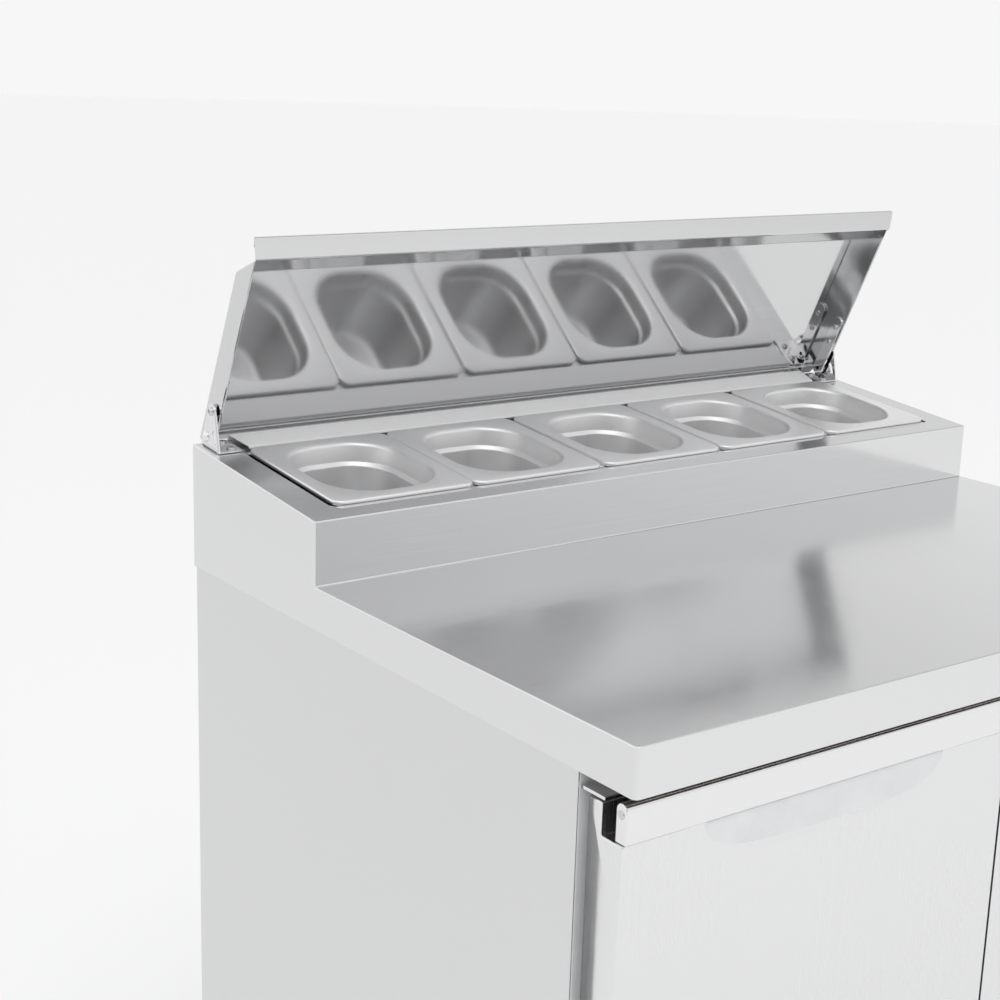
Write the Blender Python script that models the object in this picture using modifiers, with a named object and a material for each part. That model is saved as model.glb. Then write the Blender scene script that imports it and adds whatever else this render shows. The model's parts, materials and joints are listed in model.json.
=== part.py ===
"""Refrigerated sandwich prep table: a two-door cabinet with a stepped worktop, a sloping
pan rail for five sixth-size pans, and a hinged rail lid, standing open.

Metres, +Z up, the front faces -Y. The origin is on the floor, under the centre of the whole
object's box, with the lid in its open position.
"""

import math

import bmesh
import bpy
from mathutils import Matrix, Vector

MM = 0.001

# Overall sizes
WIDTH = 900 * MM
WORKTOP_DEPTH = 456 * MM
RAIL_DEPTH = 244 * MM
WORKTOP_HEIGHT = 850 * MM
APRON = 41 * MM
RISER = 62 * MM
RAIL_BACK_RISE = 87 * MM
FOOT_HEIGHT = 70 * MM
TOP_SHEET = 1.5 * MM
PANEL_SHEET = 1.2 * MM
GAP = 0.3 * MM

# Rail lid, in its own frame: s runs forward along the panel, t away from it, from the pivot
LID_OPEN = math.radians(65.8)
PIVOT_INSET = 14 * MM
PIVOT_RISE = 96.8 * MM
LID_END_INSET = 12.4 * MM
LID_SHEET = 1.2 * MM
LID_TOP = 18.2 * MM
LID_REAR = -15 * MM
LID_PANEL = 196 * MM
LID_NOSE = 42 * MM
LID_NOSE_ANGLE = math.radians(-44.6)
LID_LIP = 21 * MM
LID_LIP_ANGLE = math.radians(20.7)
LID_LIP_OVERRUN = 2 * MM
LID_REAR_FLANGE = 7 * MM
CHEEK_DEPTH = 28 * MM
CHEEK_START = 32 * MM
ARM_LENGTH = 68 * MM
ARM_RADIUS = 8 * MM
ARM_SHEET = 3 * MM
PIVOT_PIN_R = 3 * MM
PIVOT_CAP_R = 6 * MM
PIVOT_HOLE_R = 3.1 * MM
EAR_INSET = 8 * MM
EAR_SHEET = 2.5 * MM
EAR_TOP_R = 7.5 * MM
EAR_TOP_RISE = 39 * MM
EAR_FOOT = 38 * MM
EAR_FOOT_END = 36 * MM
CATCH_SCREW_R = 5 * MM

# Where the frame falls in Y: the open lid reaches past the cabinet's back
LID_OVERHANG = -LID_REAR * math.cos(LID_OPEN) + LID_TOP * math.sin(LID_OPEN) - PIVOT_INSET
Y_FRONT = -(WORKTOP_DEPTH + RAIL_DEPTH + LID_OVERHANG) / 2
Y_RISER = Y_FRONT + WORKTOP_DEPTH
Y_BACK = Y_RISER + RAIL_DEPTH
RAIL_SLOPE = math.atan((RAIL_BACK_RISE - RISER) / RAIL_DEPTH)
PIVOT_Y = Y_BACK - PIVOT_INSET
PIVOT_Z = WORKTOP_HEIGHT + PIVOT_RISE

# Rail opening and pans, in the rail's sloping frame: x across, y back from the rail's front edge
OPENING_HALF = 415 * MM
OPENING_FRONT = 28.5 * MM
OPENING_BACK = 209 * MM
LEDGE_REACH = 9.5 * MM
LEDGE_SHEET = 2 * MM
PAN_LENGTH = 176 * MM
PAN_WIDTH = 162 * MM
PAN_DEPTH = 100 * MM
PAN_SHEET = 0.8 * MM
PAN_LIP = 5 * MM
PAN_SEAT = 3.5 * MM
PAN_LEFT_EDGES = [-410 * MM, -247 * MM, -79.5 * MM, 85.5 * MM, 252 * MM]
PAN_FRONT = 30 * MM
DIVIDER_WIDTH = 14 * MM
DIVIDER_DEPTH = 9 * MM
STRIP_FRONT = 211 * MM
STRIP_RISE = 6 * MM

# Cabinet
SIDE_X = WIDTH / 2 - TOP_SHEET - 2 * GAP
SIDE_FRONT = Y_FRONT + 68 * MM
BACK_Y = Y_BACK - TOP_SHEET - GAP
WALL_TOP = WORKTOP_HEIGHT - 6 * MM
INSULATION = 34 * MM
LINER_SHEET = 1 * MM
MACHINE_TOP = 235 * MM
FLOOR_INSULATION = 34 * MM
FRAME_DEPTH = 35 * MM
FRAME_JAMB = 36 * MM
FRAME_SILL = 38 * MM
FRAME_HEADER = 60 * MM
MULLION = 60 * MM
BOARD_THICKNESS = 30 * MM
HEADER_DROP = 40 * MM
VENT_SLOTS = 6
VENT_PITCH = 18 * MM
VENT_HALF = 120 * MM
VENT_Z = 105 * MM
GLAND_X = 330 * MM
GLAND_Z = 120 * MM
GLAND_NECK_R = 10.5 * MM
GLAND_FLANGE_R = 15 * MM
GLAND_BORE_R = 5 * MM
TRAY_DEPTH = 22 * MM
TRAY_SHEET = 1.5 * MM

# Doors
DOOR_BACK = SIDE_FRONT - 11.5 * MM
DOOR_THICKNESS = 40 * MM
DOOR_SHOULDER = 15 * MM
DOOR_BOTTOM = 242 * MM
DOOR_FRONT_TOP = 765 * MM
DOOR_TOP = 792 * MM
DOOR_SIDE = 446 * MM
DOOR_MEETING_GAP = 3 * MM
DOOR_SHEET = 1 * MM
PULL_THICKNESS = 12 * MM
PULL_TOP = 798 * MM
GASKET_WIDTH = 14 * MM
GASKET_EDGE = 8 * MM
HINGE_X = 430 * MM
HINGE_BACKSET = 8 * MM
HINGE_PIN_R = 4 * MM
BRACKET_SHEET = 3 * MM

# Shelves
SHELF_Z = 506 * MM
SHELF_THICKNESS = 6 * MM
SHELF_BAR = 10 * MM
SHELF_SLOTS = 12

# Machine compartment
GRILLE_FRONT = DOOR_BACK - DOOR_THICKNESS + 2 * MM
GRILLE_SHEET = 1.2 * MM
LOUVRES = 8
LOUVRE_X = [-290 * MM, -60 * MM]
LOUVRE_Z = 95 * MM
LOUVRE_PITCH = 14 * MM
LOUVRE_SLOT = (190 * MM, 6 * MM)
FAN_BLADES = 5
CONTROL_Z = 155 * MM
CONTROLLER = (200 * MM, 37 * MM, 15.5 * MM)
SWITCH = (310 * MM, 13 * MM, 11 * MM)
BUTTONS = {"up": 18 * MM, "down": 29 * MM}
BUTTON_R = 3.9 * MM
BUTTON_POCKET_R = 4.2 * MM
COMPRESSOR_R = 62 * MM
COMPRESSOR_HEIGHT = 132 * MM
CONDENSER = (-175 * MM, -190 * MM, 156 * MM)
CONDENSER_HALF = 150 * MM
CONDENSER_DEPTH = 44 * MM
CONDENSER_FAN_R = 57 * MM
CONDENSER_THROAT_R = 62 * MM
EVAPORATOR_HALF = 160 * MM
EVAPORATOR_HEIGHT = 200 * MM
EVAPORATOR_DEPTH = 66 * MM
EVAPORATOR_FAN_R = 50 * MM
EVAPORATOR_THROAT_R = 58 * MM

# Feet
FOOT_INSET = 50 * MM
FOOT_SETBACK = 60 * MM

STEEL = ((0.62, 0.63, 0.64), 0.32, 1.0)
PAN_STEEL = ((0.66, 0.66, 0.67), 0.25, 1.0)
CHROME = ((0.75, 0.75, 0.76), 0.12, 1.0)
LINER = ((0.80, 0.81, 0.82), 0.40, 0.6)
FOAM = ((0.82, 0.76, 0.55), 0.90, 0.0)
BOARD = ((0.55, 0.40, 0.24), 0.70, 0.0)
RUBBER = ((0.10, 0.10, 0.11), 0.60, 0.0)
PLASTIC = ((0.06, 0.06, 0.07), 0.45, 0.0)
COMPRESSOR_PAINT = ((0.03, 0.03, 0.035), 0.35, 0.2)
ALUMINIUM = ((0.70, 0.71, 0.72), 0.35, 1.0)
SWITCH_GREEN = ((0.05, 0.35, 0.12), 0.35, 0.0)

AXES = {
    "X": Matrix(((0, 0, 1, 0), (1, 0, 0, 0), (0, 1, 0, 0), (0, 0, 0, 1))),
    "Y": Matrix(((0, 1, 0, 0), (0, 0, 1, 0), (1, 0, 0, 0), (0, 0, 0, 1))),
    "Z": Matrix.Identity(4),
}


# Scene helpers


def clear_scene():
    for obj in list(bpy.data.objects):
        bpy.data.objects.remove(obj)


def make_collection(name):
    collection = bpy.data.collections.new(name)
    bpy.context.scene.collection.children.link(collection)
    return collection


def make_material(name, look):
    colour, roughness, metallic = look
    material = bpy.data.materials.new(name)
    material.use_nodes = True
    shader = material.node_tree.nodes["Principled BSDF"]
    shader.inputs["Base Color"].default_value = (*colour, 1.0)
    shader.inputs["Roughness"].default_value = roughness
    shader.inputs["Metallic"].default_value = metallic
    return material


def make_empty(name, location, tilt=0.0, parent=None):
    empty = bpy.data.objects.new(name, None)
    PARTS.objects.link(empty)
    empty.location = location
    empty.rotation_euler.x = tilt
    empty.parent = parent
    return empty


def make_part(name, mesh, look, location=(0, 0, 0), parent=None):
    obj = bpy.data.objects.new(name, mesh)
    PARTS.objects.link(obj)
    mesh.materials.clear()
    mesh.materials.append(make_material(name, look))
    obj.location = location
    obj.parent = parent
    return obj


def make_cutter(mesh, location=(0, 0, 0), parent=None):
    cutter = bpy.data.objects.new("cutter", mesh)
    CUTTERS.objects.link(cutter)
    cutter.hide_render = True
    cutter.display_type = "WIRE"
    cutter.location = location
    cutter.parent = parent
    return cutter


def combine(obj, other, operation):
    modifier = obj.modifiers.new(operation.lower(), "BOOLEAN")
    modifier.operation = operation
    modifier.object = other
    modifier.solver = "EXACT"


def cut(obj, cutter):
    combine(obj, cutter, "DIFFERENCE")


def join(obj, addition):
    combine(obj, addition, "UNION")


def solidify(obj, thickness, offset=-1.0):
    modifier = obj.modifiers.new("sheet", "SOLIDIFY")
    modifier.thickness = thickness
    modifier.offset = offset
    modifier.use_even_offset = True
    modifier.use_quality_normals = True


def bevel(obj, width, segments=2, angle=math.radians(40)):
    modifier = obj.modifiers.new("rounded_edges", "BEVEL")
    modifier.width = width
    modifier.segments = segments
    modifier.limit_method = "ANGLE"
    modifier.angle_limit = angle


# Mesh helpers


def box_mesh(low, high):
    low, high = Vector(low), Vector(high)
    size = high - low
    bm = bmesh.new()
    bmesh.ops.create_cube(bm, size=1.0)
    bmesh.ops.scale(bm, vec=size, verts=bm.verts)
    bmesh.ops.translate(bm, vec=(low + high) / 2, verts=bm.verts)
    mesh = bpy.data.meshes.new("box")
    bm.to_mesh(mesh)
    bm.free()
    return mesh


def open_box_mesh(low, high, open_sides):
    """A box without the faces whose outward normals are given, such as (0, -1, 0)."""
    bm = bmesh.new()
    bm.from_mesh(box_mesh(low, high))
    bm.normal_update()
    dropped = [f for f in bm.faces if any(f.normal.dot(Vector(s)) > 0.9 for s in open_sides)]
    bmesh.ops.delete(bm, geom=dropped, context="FACES")
    mesh = bpy.data.meshes.new("open_box")
    bm.to_mesh(mesh)
    bm.free()
    return mesh


def cylinder_mesh(radius, start, end, axis, segments=24):
    """A cylinder between two distances along a named axis."""
    bm = bmesh.new()
    bmesh.ops.create_cone(
        bm,
        cap_ends=True,
        segments=segments,
        radius1=radius,
        radius2=radius,
        depth=abs(end - start),
    )
    bmesh.ops.translate(bm, vec=(0, 0, (start + end) / 2), verts=bm.verts)
    bmesh.ops.transform(bm, matrix=AXES[axis], verts=bm.verts)
    mesh = bpy.data.meshes.new("cylinder")
    bm.to_mesh(mesh)
    bm.free()
    return mesh


def prism_mesh(outline, low, high, axis):
    """A flat outline extruded along X, Y or Z. The outline's points are in the other two
    axes, in cyclic order: (y, z) for X, (z, x) for Y and (x, y) for Z."""
    curve = bpy.data.curves.new("outline", "CURVE")
    curve.dimensions = "2D"
    curve.fill_mode = "BOTH"
    curve.extrude = (high - low) / 2
    spline = curve.splines.new("POLY")
    spline.points.add(len(outline) - 1)
    for point, (a, b) in zip(spline.points, outline):
        point.co = (a, b, 0, 1)
    spline.use_cyclic_u = True
    holder = bpy.data.objects.new("outline", curve)
    bpy.context.scene.collection.objects.link(holder)
    graph = bpy.context.evaluated_depsgraph_get()
    mesh = bpy.data.meshes.new_from_object(holder.evaluated_get(graph))
    bpy.data.objects.remove(holder)
    bm = bmesh.new()
    bm.from_mesh(mesh)
    bmesh.ops.remove_doubles(bm, verts=bm.verts, dist=0.00001)
    bmesh.ops.dissolve_limit(
        bm, angle_limit=math.radians(0.1), verts=bm.verts, edges=bm.edges
    )
    bmesh.ops.translate(bm, vec=(0, 0, (low + high) / 2), verts=bm.verts)
    bmesh.ops.transform(bm, matrix=AXES[axis], verts=bm.verts)
    bmesh.ops.recalc_face_normals(bm, faces=bm.faces)
    bm.to_mesh(mesh)
    bm.free()
    return mesh


def ribbon_mesh(profile, half_width, end_overruns=None):
    """A sheet that follows an open (y, z) profile, extruded along X. end_overruns widens the
    sheet at each profile point."""
    overruns = end_overruns or [0.0] * len(profile)
    bm = bmesh.new()
    left = [bm.verts.new((-half_width - o, y, z)) for (y, z), o in zip(profile, overruns)]
    edges = [bm.edges.new(pair) for pair in zip(left, left[1:])]
    made = bmesh.ops.extrude_edge_only(bm, edges=edges)
    right = sorted(
        (v for v in made["geom"] if isinstance(v, bmesh.types.BMVert)),
        key=lambda v: min(range(len(left)), key=lambda i: (left[i].co - v.co).length),
    )
    for vert, (y, z), overrun in zip(right, profile, overruns):
        vert.co = (half_width + overrun, y, z)
    bmesh.ops.recalc_face_normals(bm, faces=bm.faces)
    mesh = bpy.data.meshes.new("ribbon")
    bm.to_mesh(mesh)
    bm.free()
    return mesh


def rounded_ring(half_x, half_y, radius, z, corner_steps=3):
    """The points of a rounded rectangle, anticlockwise seen from above."""
    points = []
    for quarter in range(4):
        centre_x = (half_x - radius) * (1 if quarter in (0, 3) else -1)
        centre_y = (half_y - radius) * (1 if quarter in (0, 1) else -1)
        for step in range(corner_steps + 1):
            angle = math.pi / 2 * (quarter + step / corner_steps)
            x = centre_x + radius * math.cos(angle)
            y = centre_y + radius * math.sin(angle)
            points.append((x, y, z))
    return points


def loft_mesh(rings):
    """A surface through rings with equal numbers of points, closed over the last."""
    bm = bmesh.new()
    loops = [[bm.verts.new(p) for p in ring] for ring in rings]
    for upper, lower in zip(loops, loops[1:]):
        for i in range(len(upper)):
            j = (i + 1) % len(upper)
            bm.faces.new((upper[i], upper[j], lower[j], lower[i]))
    bm.faces.new(loops[-1])
    bmesh.ops.recalc_face_normals(bm, faces=bm.faces)
    mesh = bpy.data.meshes.new("loft")
    bm.to_mesh(mesh)
    bm.free()
    return mesh


def turned_mesh(profile, steps=20):
    """A solid turned about Z from a (radius, z) profile that runs top to bottom and starts
    and ends on the axis."""
    bm = bmesh.new()
    verts = [bm.verts.new((r, 0, z)) for r, z in profile]
    for pair in zip(verts, verts[1:]):
        bm.edges.new(pair)
    mesh = bpy.data.meshes.new("profile")
    bm.to_mesh(mesh)
    bm.free()
    holder = bpy.data.objects.new("profile", mesh)
    bpy.context.scene.collection.objects.link(holder)
    screw = holder.modifiers.new("turn", "SCREW")
    screw.steps = steps
    screw.render_steps = steps
    screw.use_merge_vertices = True
    screw.merge_threshold = 0.00001
    graph = bpy.context.evaluated_depsgraph_get()
    turned = bpy.data.meshes.new_from_object(holder.evaluated_get(graph))
    bpy.data.objects.remove(holder)
    bm = bmesh.new()
    bm.from_mesh(turned)
    bmesh.ops.recalc_face_normals(bm, faces=bm.faces)
    bm.to_mesh(turned)
    bm.free()
    return turned


def moved(mesh, offset):
    mesh.transform(Matrix.Translation(offset))
    return mesh


# Worktop and pan rail


def rail_height(y_from_front):
    """Height of the rail's surface above the worktop, at a distance behind its front edge."""
    return RISER + math.tan(RAIL_SLOPE) * y_from_front


def worktop(rail):
    base = WORKTOP_HEIGHT - APRON
    outline = [
        (Y_FRONT, base),
        (Y_BACK, base),
        (Y_BACK, WORKTOP_HEIGHT + RAIL_BACK_RISE),
        (Y_RISER, WORKTOP_HEIGHT + RISER),
        (Y_RISER, WORKTOP_HEIGHT),
        (Y_FRONT, WORKTOP_HEIGHT),
    ]
    mesh = prism_mesh(outline, -WIDTH / 2, WIDTH / 2, "X")
    bm = bmesh.new()
    bm.from_mesh(mesh)
    bm.normal_update()
    bottom = [f for f in bm.faces if f.normal.z < -0.9]
    bmesh.ops.delete(bm, geom=bottom, context="FACES")
    bm.to_mesh(mesh)
    bm.free()
    top = make_part("worktop", mesh, STEEL)
    solidify(top, TOP_SHEET)
    opening = box_mesh(
        (-OPENING_HALF, OPENING_FRONT, -0.03), (OPENING_HALF, OPENING_BACK, 0.03)
    )
    cut(top, make_cutter(opening, parent=rail))


def worktop_board():
    low = (-SIDE_X + 6 * MM, Y_FRONT + 12 * MM, WORKTOP_HEIGHT - TOP_SHEET - GAP - BOARD_THICKNESS)
    high = (SIDE_X - 6 * MM, Y_RISER - 10 * MM, WORKTOP_HEIGHT - TOP_SHEET - GAP)
    board = make_part("worktop_board", box_mesh(low, high), BOARD)
    rear_of_header = SIDE_FRONT - 2 * GAP
    lower = box_mesh((-1, -1, 0), (1, rear_of_header, WORKTOP_HEIGHT - 0.5 * BOARD_THICKNESS))
    cut(board, make_cutter(lower))


def rear_strip(rail):
    """The folded strip behind the pans, with a face that slopes up towards the lid."""
    outline = [
        (STRIP_FRONT, GAP),
        (RAIL_DEPTH - 1 * MM, GAP),
        (RAIL_DEPTH - 1 * MM, STRIP_RISE),
        (STRIP_FRONT + 2 * MM, 1.5 * MM),
        (STRIP_FRONT, 1.5 * MM),
    ]
    mesh = prism_mesh(outline, -OPENING_HALF + 5 * MM, OPENING_HALF - 5 * MM, "X")
    make_part("rear_strip", mesh, STEEL, parent=rail)


def pan_ledge(rail):
    """The frame under the opening whose front and rear edges carry the pans' lips."""
    top = -TOP_SHEET - GAP
    low = (-OPENING_HALF - 14 * MM, OPENING_FRONT - 12 * MM, top - LEDGE_SHEET)
    high = (OPENING_HALF + 14 * MM, OPENING_BACK + 12 * MM, top)
    ledge = make_part("pan_ledge", box_mesh(low, high), STEEL, parent=rail)
    inside = box_mesh(
        (-OPENING_HALF - 2 * MM, OPENING_FRONT + LEDGE_REACH, -0.03),
        (OPENING_HALF + 2 * MM, OPENING_BACK - LEDGE_REACH, 0.03),
    )
    cut(ledge, make_cutter(inside, parent=rail))


def pan_dividers(rail):
    """Four bars across the opening, under the gaps between the pans, that hang on the ledge."""
    top = -TOP_SHEET - GAP
    step = top - LEDGE_SHEET - GAP
    half = DIVIDER_WIDTH / 2
    front, back = OPENING_FRONT + LEDGE_REACH, OPENING_BACK - LEDGE_REACH
    for i, (left, right) in enumerate(zip(PAN_LEFT_EDGES, PAN_LEFT_EDGES[1:])):
        centre = (left + PAN_WIDTH + right) / 2
        crown = box_mesh((-half, front + GAP, step - 1 * MM), (half, back - GAP, top))
        bar = make_part(f"pan_divider_{i + 1}", crown, STEEL, (centre, 0, 0), rail)
        beam = box_mesh(
            (-half, front - 8 * MM, top - DIVIDER_DEPTH), (half, back + 8 * MM, step)
        )
        join(bar, make_cutter(beam, (centre, 0, 0), rail))


def pans(rail):
    """Sixth-size pans: a turned-down lip, a flat flange, and a well with a stacking ledge."""
    half_x, half_y = PAN_WIDTH / 2, PAN_LENGTH / 2
    rings = [
        rounded_ring(half_x, half_y, 12 * MM, -PAN_LIP),
        rounded_ring(half_x, half_y, 12 * MM, 0),
        rounded_ring(half_x - 18 * MM, half_y - 17 * MM, 42 * MM, 0),
        rounded_ring(half_x - 20 * MM, half_y - 19 * MM, 40 * MM, -20 * MM),
        rounded_ring(half_x - 23 * MM, half_y - 22 * MM, 38 * MM, -23 * MM),
        rounded_ring(half_x - 27 * MM, half_y - 26 * MM, 35 * MM, -PAN_DEPTH + 8 * MM),
        rounded_ring(half_x - 34 * MM, half_y - 33 * MM, 28 * MM, -PAN_DEPTH),
    ]
    for i, left in enumerate(PAN_LEFT_EDGES):
        centre = (left + half_x, PAN_FRONT + half_y, PAN_SEAT)
        pan = make_part(f"pan_{i + 1}", loft_mesh(rings), PAN_STEEL, centre, rail)
        solidify(pan, PAN_SHEET, 1.0)


# Lid


def lid_point(s, t):
    """A point of the lid's section, in the pivot's frame: (y, z)."""
    return (-s, t)


def lid_section():
    """Rear flange, panel, nose and grip lip, on the outside of the sheet."""
    bend = (LID_REAR + LID_PANEL, LID_TOP)
    nose = (
        bend[0] + LID_NOSE * math.cos(LID_NOSE_ANGLE),
        bend[1] + LID_NOSE * math.sin(LID_NOSE_ANGLE),
    )
    lip = (
        nose[0] + LID_LIP * math.cos(LID_LIP_ANGLE),
        nose[1] + LID_LIP * math.sin(LID_LIP_ANGLE),
    )
    return [(LID_REAR, LID_TOP - LID_REAR_FLANGE), (LID_REAR, LID_TOP), bend, nose, lip]


def lid(pivot):
    section = lid_section()
    half = WIDTH / 2 - LID_END_INSET
    overruns = [0, 0, 0, 0, LID_LIP_OVERRUN]
    sheet = make_part("lid", ribbon_mesh([lid_point(*p) for p in section], half, overruns), STEEL)
    sheet.parent = pivot
    solidify(sheet, LID_SHEET, lid_sheet_side(sheet))
    bend, nose = section[2], section[3]
    inner = LID_TOP - LID_SHEET / 2
    cheek_low = LID_TOP - CHEEK_DEPTH
    nose_drop = (bend[1] - cheek_low) / math.tan(-LID_NOSE_ANGLE)
    outline = [
        lid_point(LID_REAR + 0.4 * MM, inner),
        lid_point(LID_REAR + 0.4 * MM, LID_TOP - LID_REAR_FLANGE),
        lid_point(CHEEK_START - 12 * MM, 2 * MM),
        lid_point(CHEEK_START, cheek_low),
        lid_point(bend[0] + nose_drop - 1 * MM, cheek_low),
        lid_point(bend[0] - 0.2 * MM, inner),
    ]
    for side in (-1, 1):
        outer = side * half
        inside = side * (half - LID_SHEET)
        cheek = prism_mesh(outline, min(outer, inside), max(outer, inside), "X")
        join(sheet, make_cutter(cheek, parent=pivot))


def lid_sheet_side(sheet):
    """Solidify's offset that puts the sheet's thickness on the lid's inside."""
    panel = max(sheet.data.polygons, key=lambda face: face.area)
    return -1.0 if panel.normal.z > 0 else 1.0


def lid_arms(pivot):
    """A strap inside each cheek with the pivot pin fixed in its end."""
    cheek_inside = WIDTH / 2 - LID_END_INSET - LID_SHEET - GAP
    outline = []
    for centre, turn in ((ARM_LENGTH, -math.pi / 2), (0, math.pi / 2)):
        for step in range(9):
            angle = turn + math.pi * step / 8
            s = centre + ARM_RADIUS * math.cos(angle)
            outline.append(lid_point(s, ARM_RADIUS * math.sin(angle)))
    for side, name in ((-1, "left"), (1, "right")):
        outer = side * cheek_inside
        inner = side * (cheek_inside - ARM_SHEET)
        mesh = prism_mesh(outline, min(outer, inner), max(outer, inner), "X")
        arm = make_part(f"lid_arm_{name}", mesh, CHROME, parent=pivot)
        head = side * (WIDTH / 2 - EAR_INSET + GAP)
        tip = side * (cheek_inside - ARM_SHEET / 2)
        pin = cylinder_mesh(PIVOT_PIN_R, min(head, tip), max(head, tip), "X")
        join(arm, make_cutter(pin, parent=pivot))
        cap = side * (WIDTH / 2 - EAR_INSET + 2.5 * MM)
        disc = cylinder_mesh(PIVOT_CAP_R, min(head, cap), max(head, cap), "X", 16)
        join(arm, make_cutter(disc, parent=pivot))



def hinge_brackets(rail):
    """A foot on the rail and an upright ear, with a catch screw near its rounded top."""
    pivot_rail_y = RAIL_DEPTH - PIVOT_INSET
    base_back = RAIL_DEPTH - 2 * MM
    base_front = base_back - EAR_FOOT
    top_y = pivot_rail_y - 11.5 * MM
    top_z = rail_height(pivot_rail_y) + EAR_TOP_RISE
    back_low = (Y_RISER + base_back, WORKTOP_HEIGHT + rail_height(base_back) + GAP)
    front_low = (Y_RISER + base_front, WORKTOP_HEIGHT + rail_height(base_front) + GAP)
    centre = (Y_RISER + top_y, WORKTOP_HEIGHT + top_z)
    outline = [front_low, back_low]
    for step in range(9):
        angle = math.radians(20 + 150 * step / 8)
        across, up = EAR_TOP_R * math.cos(angle), EAR_TOP_R * math.sin(angle)
        outline.append((centre[0] + across, centre[1] + up))
    for side, name in ((-1, "left"), (1, "right")):
        outer = side * (WIDTH / 2 - EAR_INSET)
        inner = side * (WIDTH / 2 - EAR_INSET - EAR_SHEET)
        mesh = prism_mesh(outline, min(outer, inner), max(outer, inner), "X")
        bracket = make_part(f"hinge_bracket_{name}", mesh, CHROME)
        foot_end = side * (WIDTH / 2 - EAR_FOOT_END)
        foot = box_mesh(
            (min(outer, foot_end), base_front, GAP * 1.2),
            (max(outer, foot_end), base_back, 2 * MM),
        )
        join(bracket, make_cutter(foot, parent=rail))
        hole = cylinder_mesh(PIVOT_HOLE_R, outer - 20 * MM, outer + 20 * MM, "X")
        cut(bracket, make_cutter(hole, (0, PIVOT_Y, PIVOT_Z)))
        head_end = outer + side * 2.2 * MM
        head_start = (outer + inner) / 2
        ends = sorted((head_start, head_end))
        screw = cylinder_mesh(CATCH_SCREW_R, *ends, "X", 16)
        join(bracket, make_cutter(screw, (0, *centre)))


# Cabinet


def side_panels():
    for side, name in ((-1, "left"), (1, "right")):
        outer, inner = side * SIDE_X, side * (SIDE_X - PANEL_SHEET)
        low = (min(outer, inner), SIDE_FRONT, FOOT_HEIGHT)
        high = (max(outer, inner), BACK_Y, WALL_TOP)
        make_part(f"side_panel_{name}", box_mesh(low, high), STEEL)


def back_panel():
    inside = SIDE_X - PANEL_SHEET - GAP
    low = (-inside, BACK_Y - PANEL_SHEET, FOOT_HEIGHT + 2 * MM)
    high = (inside, BACK_Y, WALL_TOP)
    panel = make_part("back_panel", box_mesh(low, high), STEEL)
    for i in range(VENT_SLOTS):
        z = VENT_Z + i * VENT_PITCH
        slot = box_mesh((-VENT_HALF, BACK_Y - 0.02, z), (VENT_HALF, BACK_Y + 0.02, z + 6 * MM))
        cut(panel, make_cutter(slot))
    hole = cylinder_mesh(GLAND_NECK_R + 0.5 * MM, -0.02, 0.02, "Y")
    cut(panel, make_cutter(hole, (GLAND_X, BACK_Y, GLAND_Z)))



def cord_gland():
    """The flanged inlet for the supply cord: a bush through the back panel."""
    flange = cylinder_mesh(GLAND_FLANGE_R, GAP, 5 * MM, "Y")
    gland = make_part("cord_gland", flange, PLASTIC, (GLAND_X, BACK_Y, GLAND_Z))
    neck = cylinder_mesh(GLAND_NECK_R, -10 * MM, 1 * MM, "Y")
    join(gland, make_cutter(neck, (GLAND_X, BACK_Y, GLAND_Z)))
    bore = cylinder_mesh(GLAND_BORE_R, -0.02, 0.02, "Y", 16)
    cut(gland, make_cutter(bore, (GLAND_X, BACK_Y, GLAND_Z)))


def base_tray():
    inside = SIDE_X - PANEL_SHEET - GAP
    low = (-inside, SIDE_FRONT + 1 * MM, FOOT_HEIGHT)
    high = (inside, BACK_Y - PANEL_SHEET - GAP, FOOT_HEIGHT + TRAY_DEPTH)
    tray = make_part("base_tray", open_box_mesh(low, high, [(0, 0, 1)]), STEEL)
    solidify(tray, TRAY_SHEET)


def insulation():
    inside = SIDE_X - PANEL_SHEET - GAP
    front = SIDE_FRONT + FRAME_DEPTH + GAP
    back = BACK_Y - PANEL_SHEET - GAP
    block = make_part(
        "insulation",
        box_mesh((-inside, front, MACHINE_TOP), (inside, back, WALL_TOP - HEADER_DROP)),
        FOAM,
    )
    cavity = box_mesh(
        (-inside + INSULATION, front - 0.01, MACHINE_TOP + FLOOR_INSULATION),
        (inside - INSULATION, back - INSULATION, WALL_TOP + 0.01),
    )
    cut(block, make_cutter(cavity))


def cavity_box():
    """The inside of the liner: low and high corners."""
    half = SIDE_X - PANEL_SHEET - GAP - INSULATION - GAP - LINER_SHEET
    front = SIDE_FRONT + FRAME_DEPTH + GAP
    back = BACK_Y - PANEL_SHEET - GAP - INSULATION - GAP - LINER_SHEET
    floor = MACHINE_TOP + FLOOR_INSULATION + GAP + LINER_SHEET
    return Vector((-half, front, floor)), Vector((half, back, WALL_TOP - HEADER_DROP))


def liner():
    low, high = cavity_box()
    mesh = open_box_mesh(low, high, [(0, -1, 0), (0, 0, 1)])
    solidify(make_part("liner", mesh, LINER), LINER_SHEET, 1.0)


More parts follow.
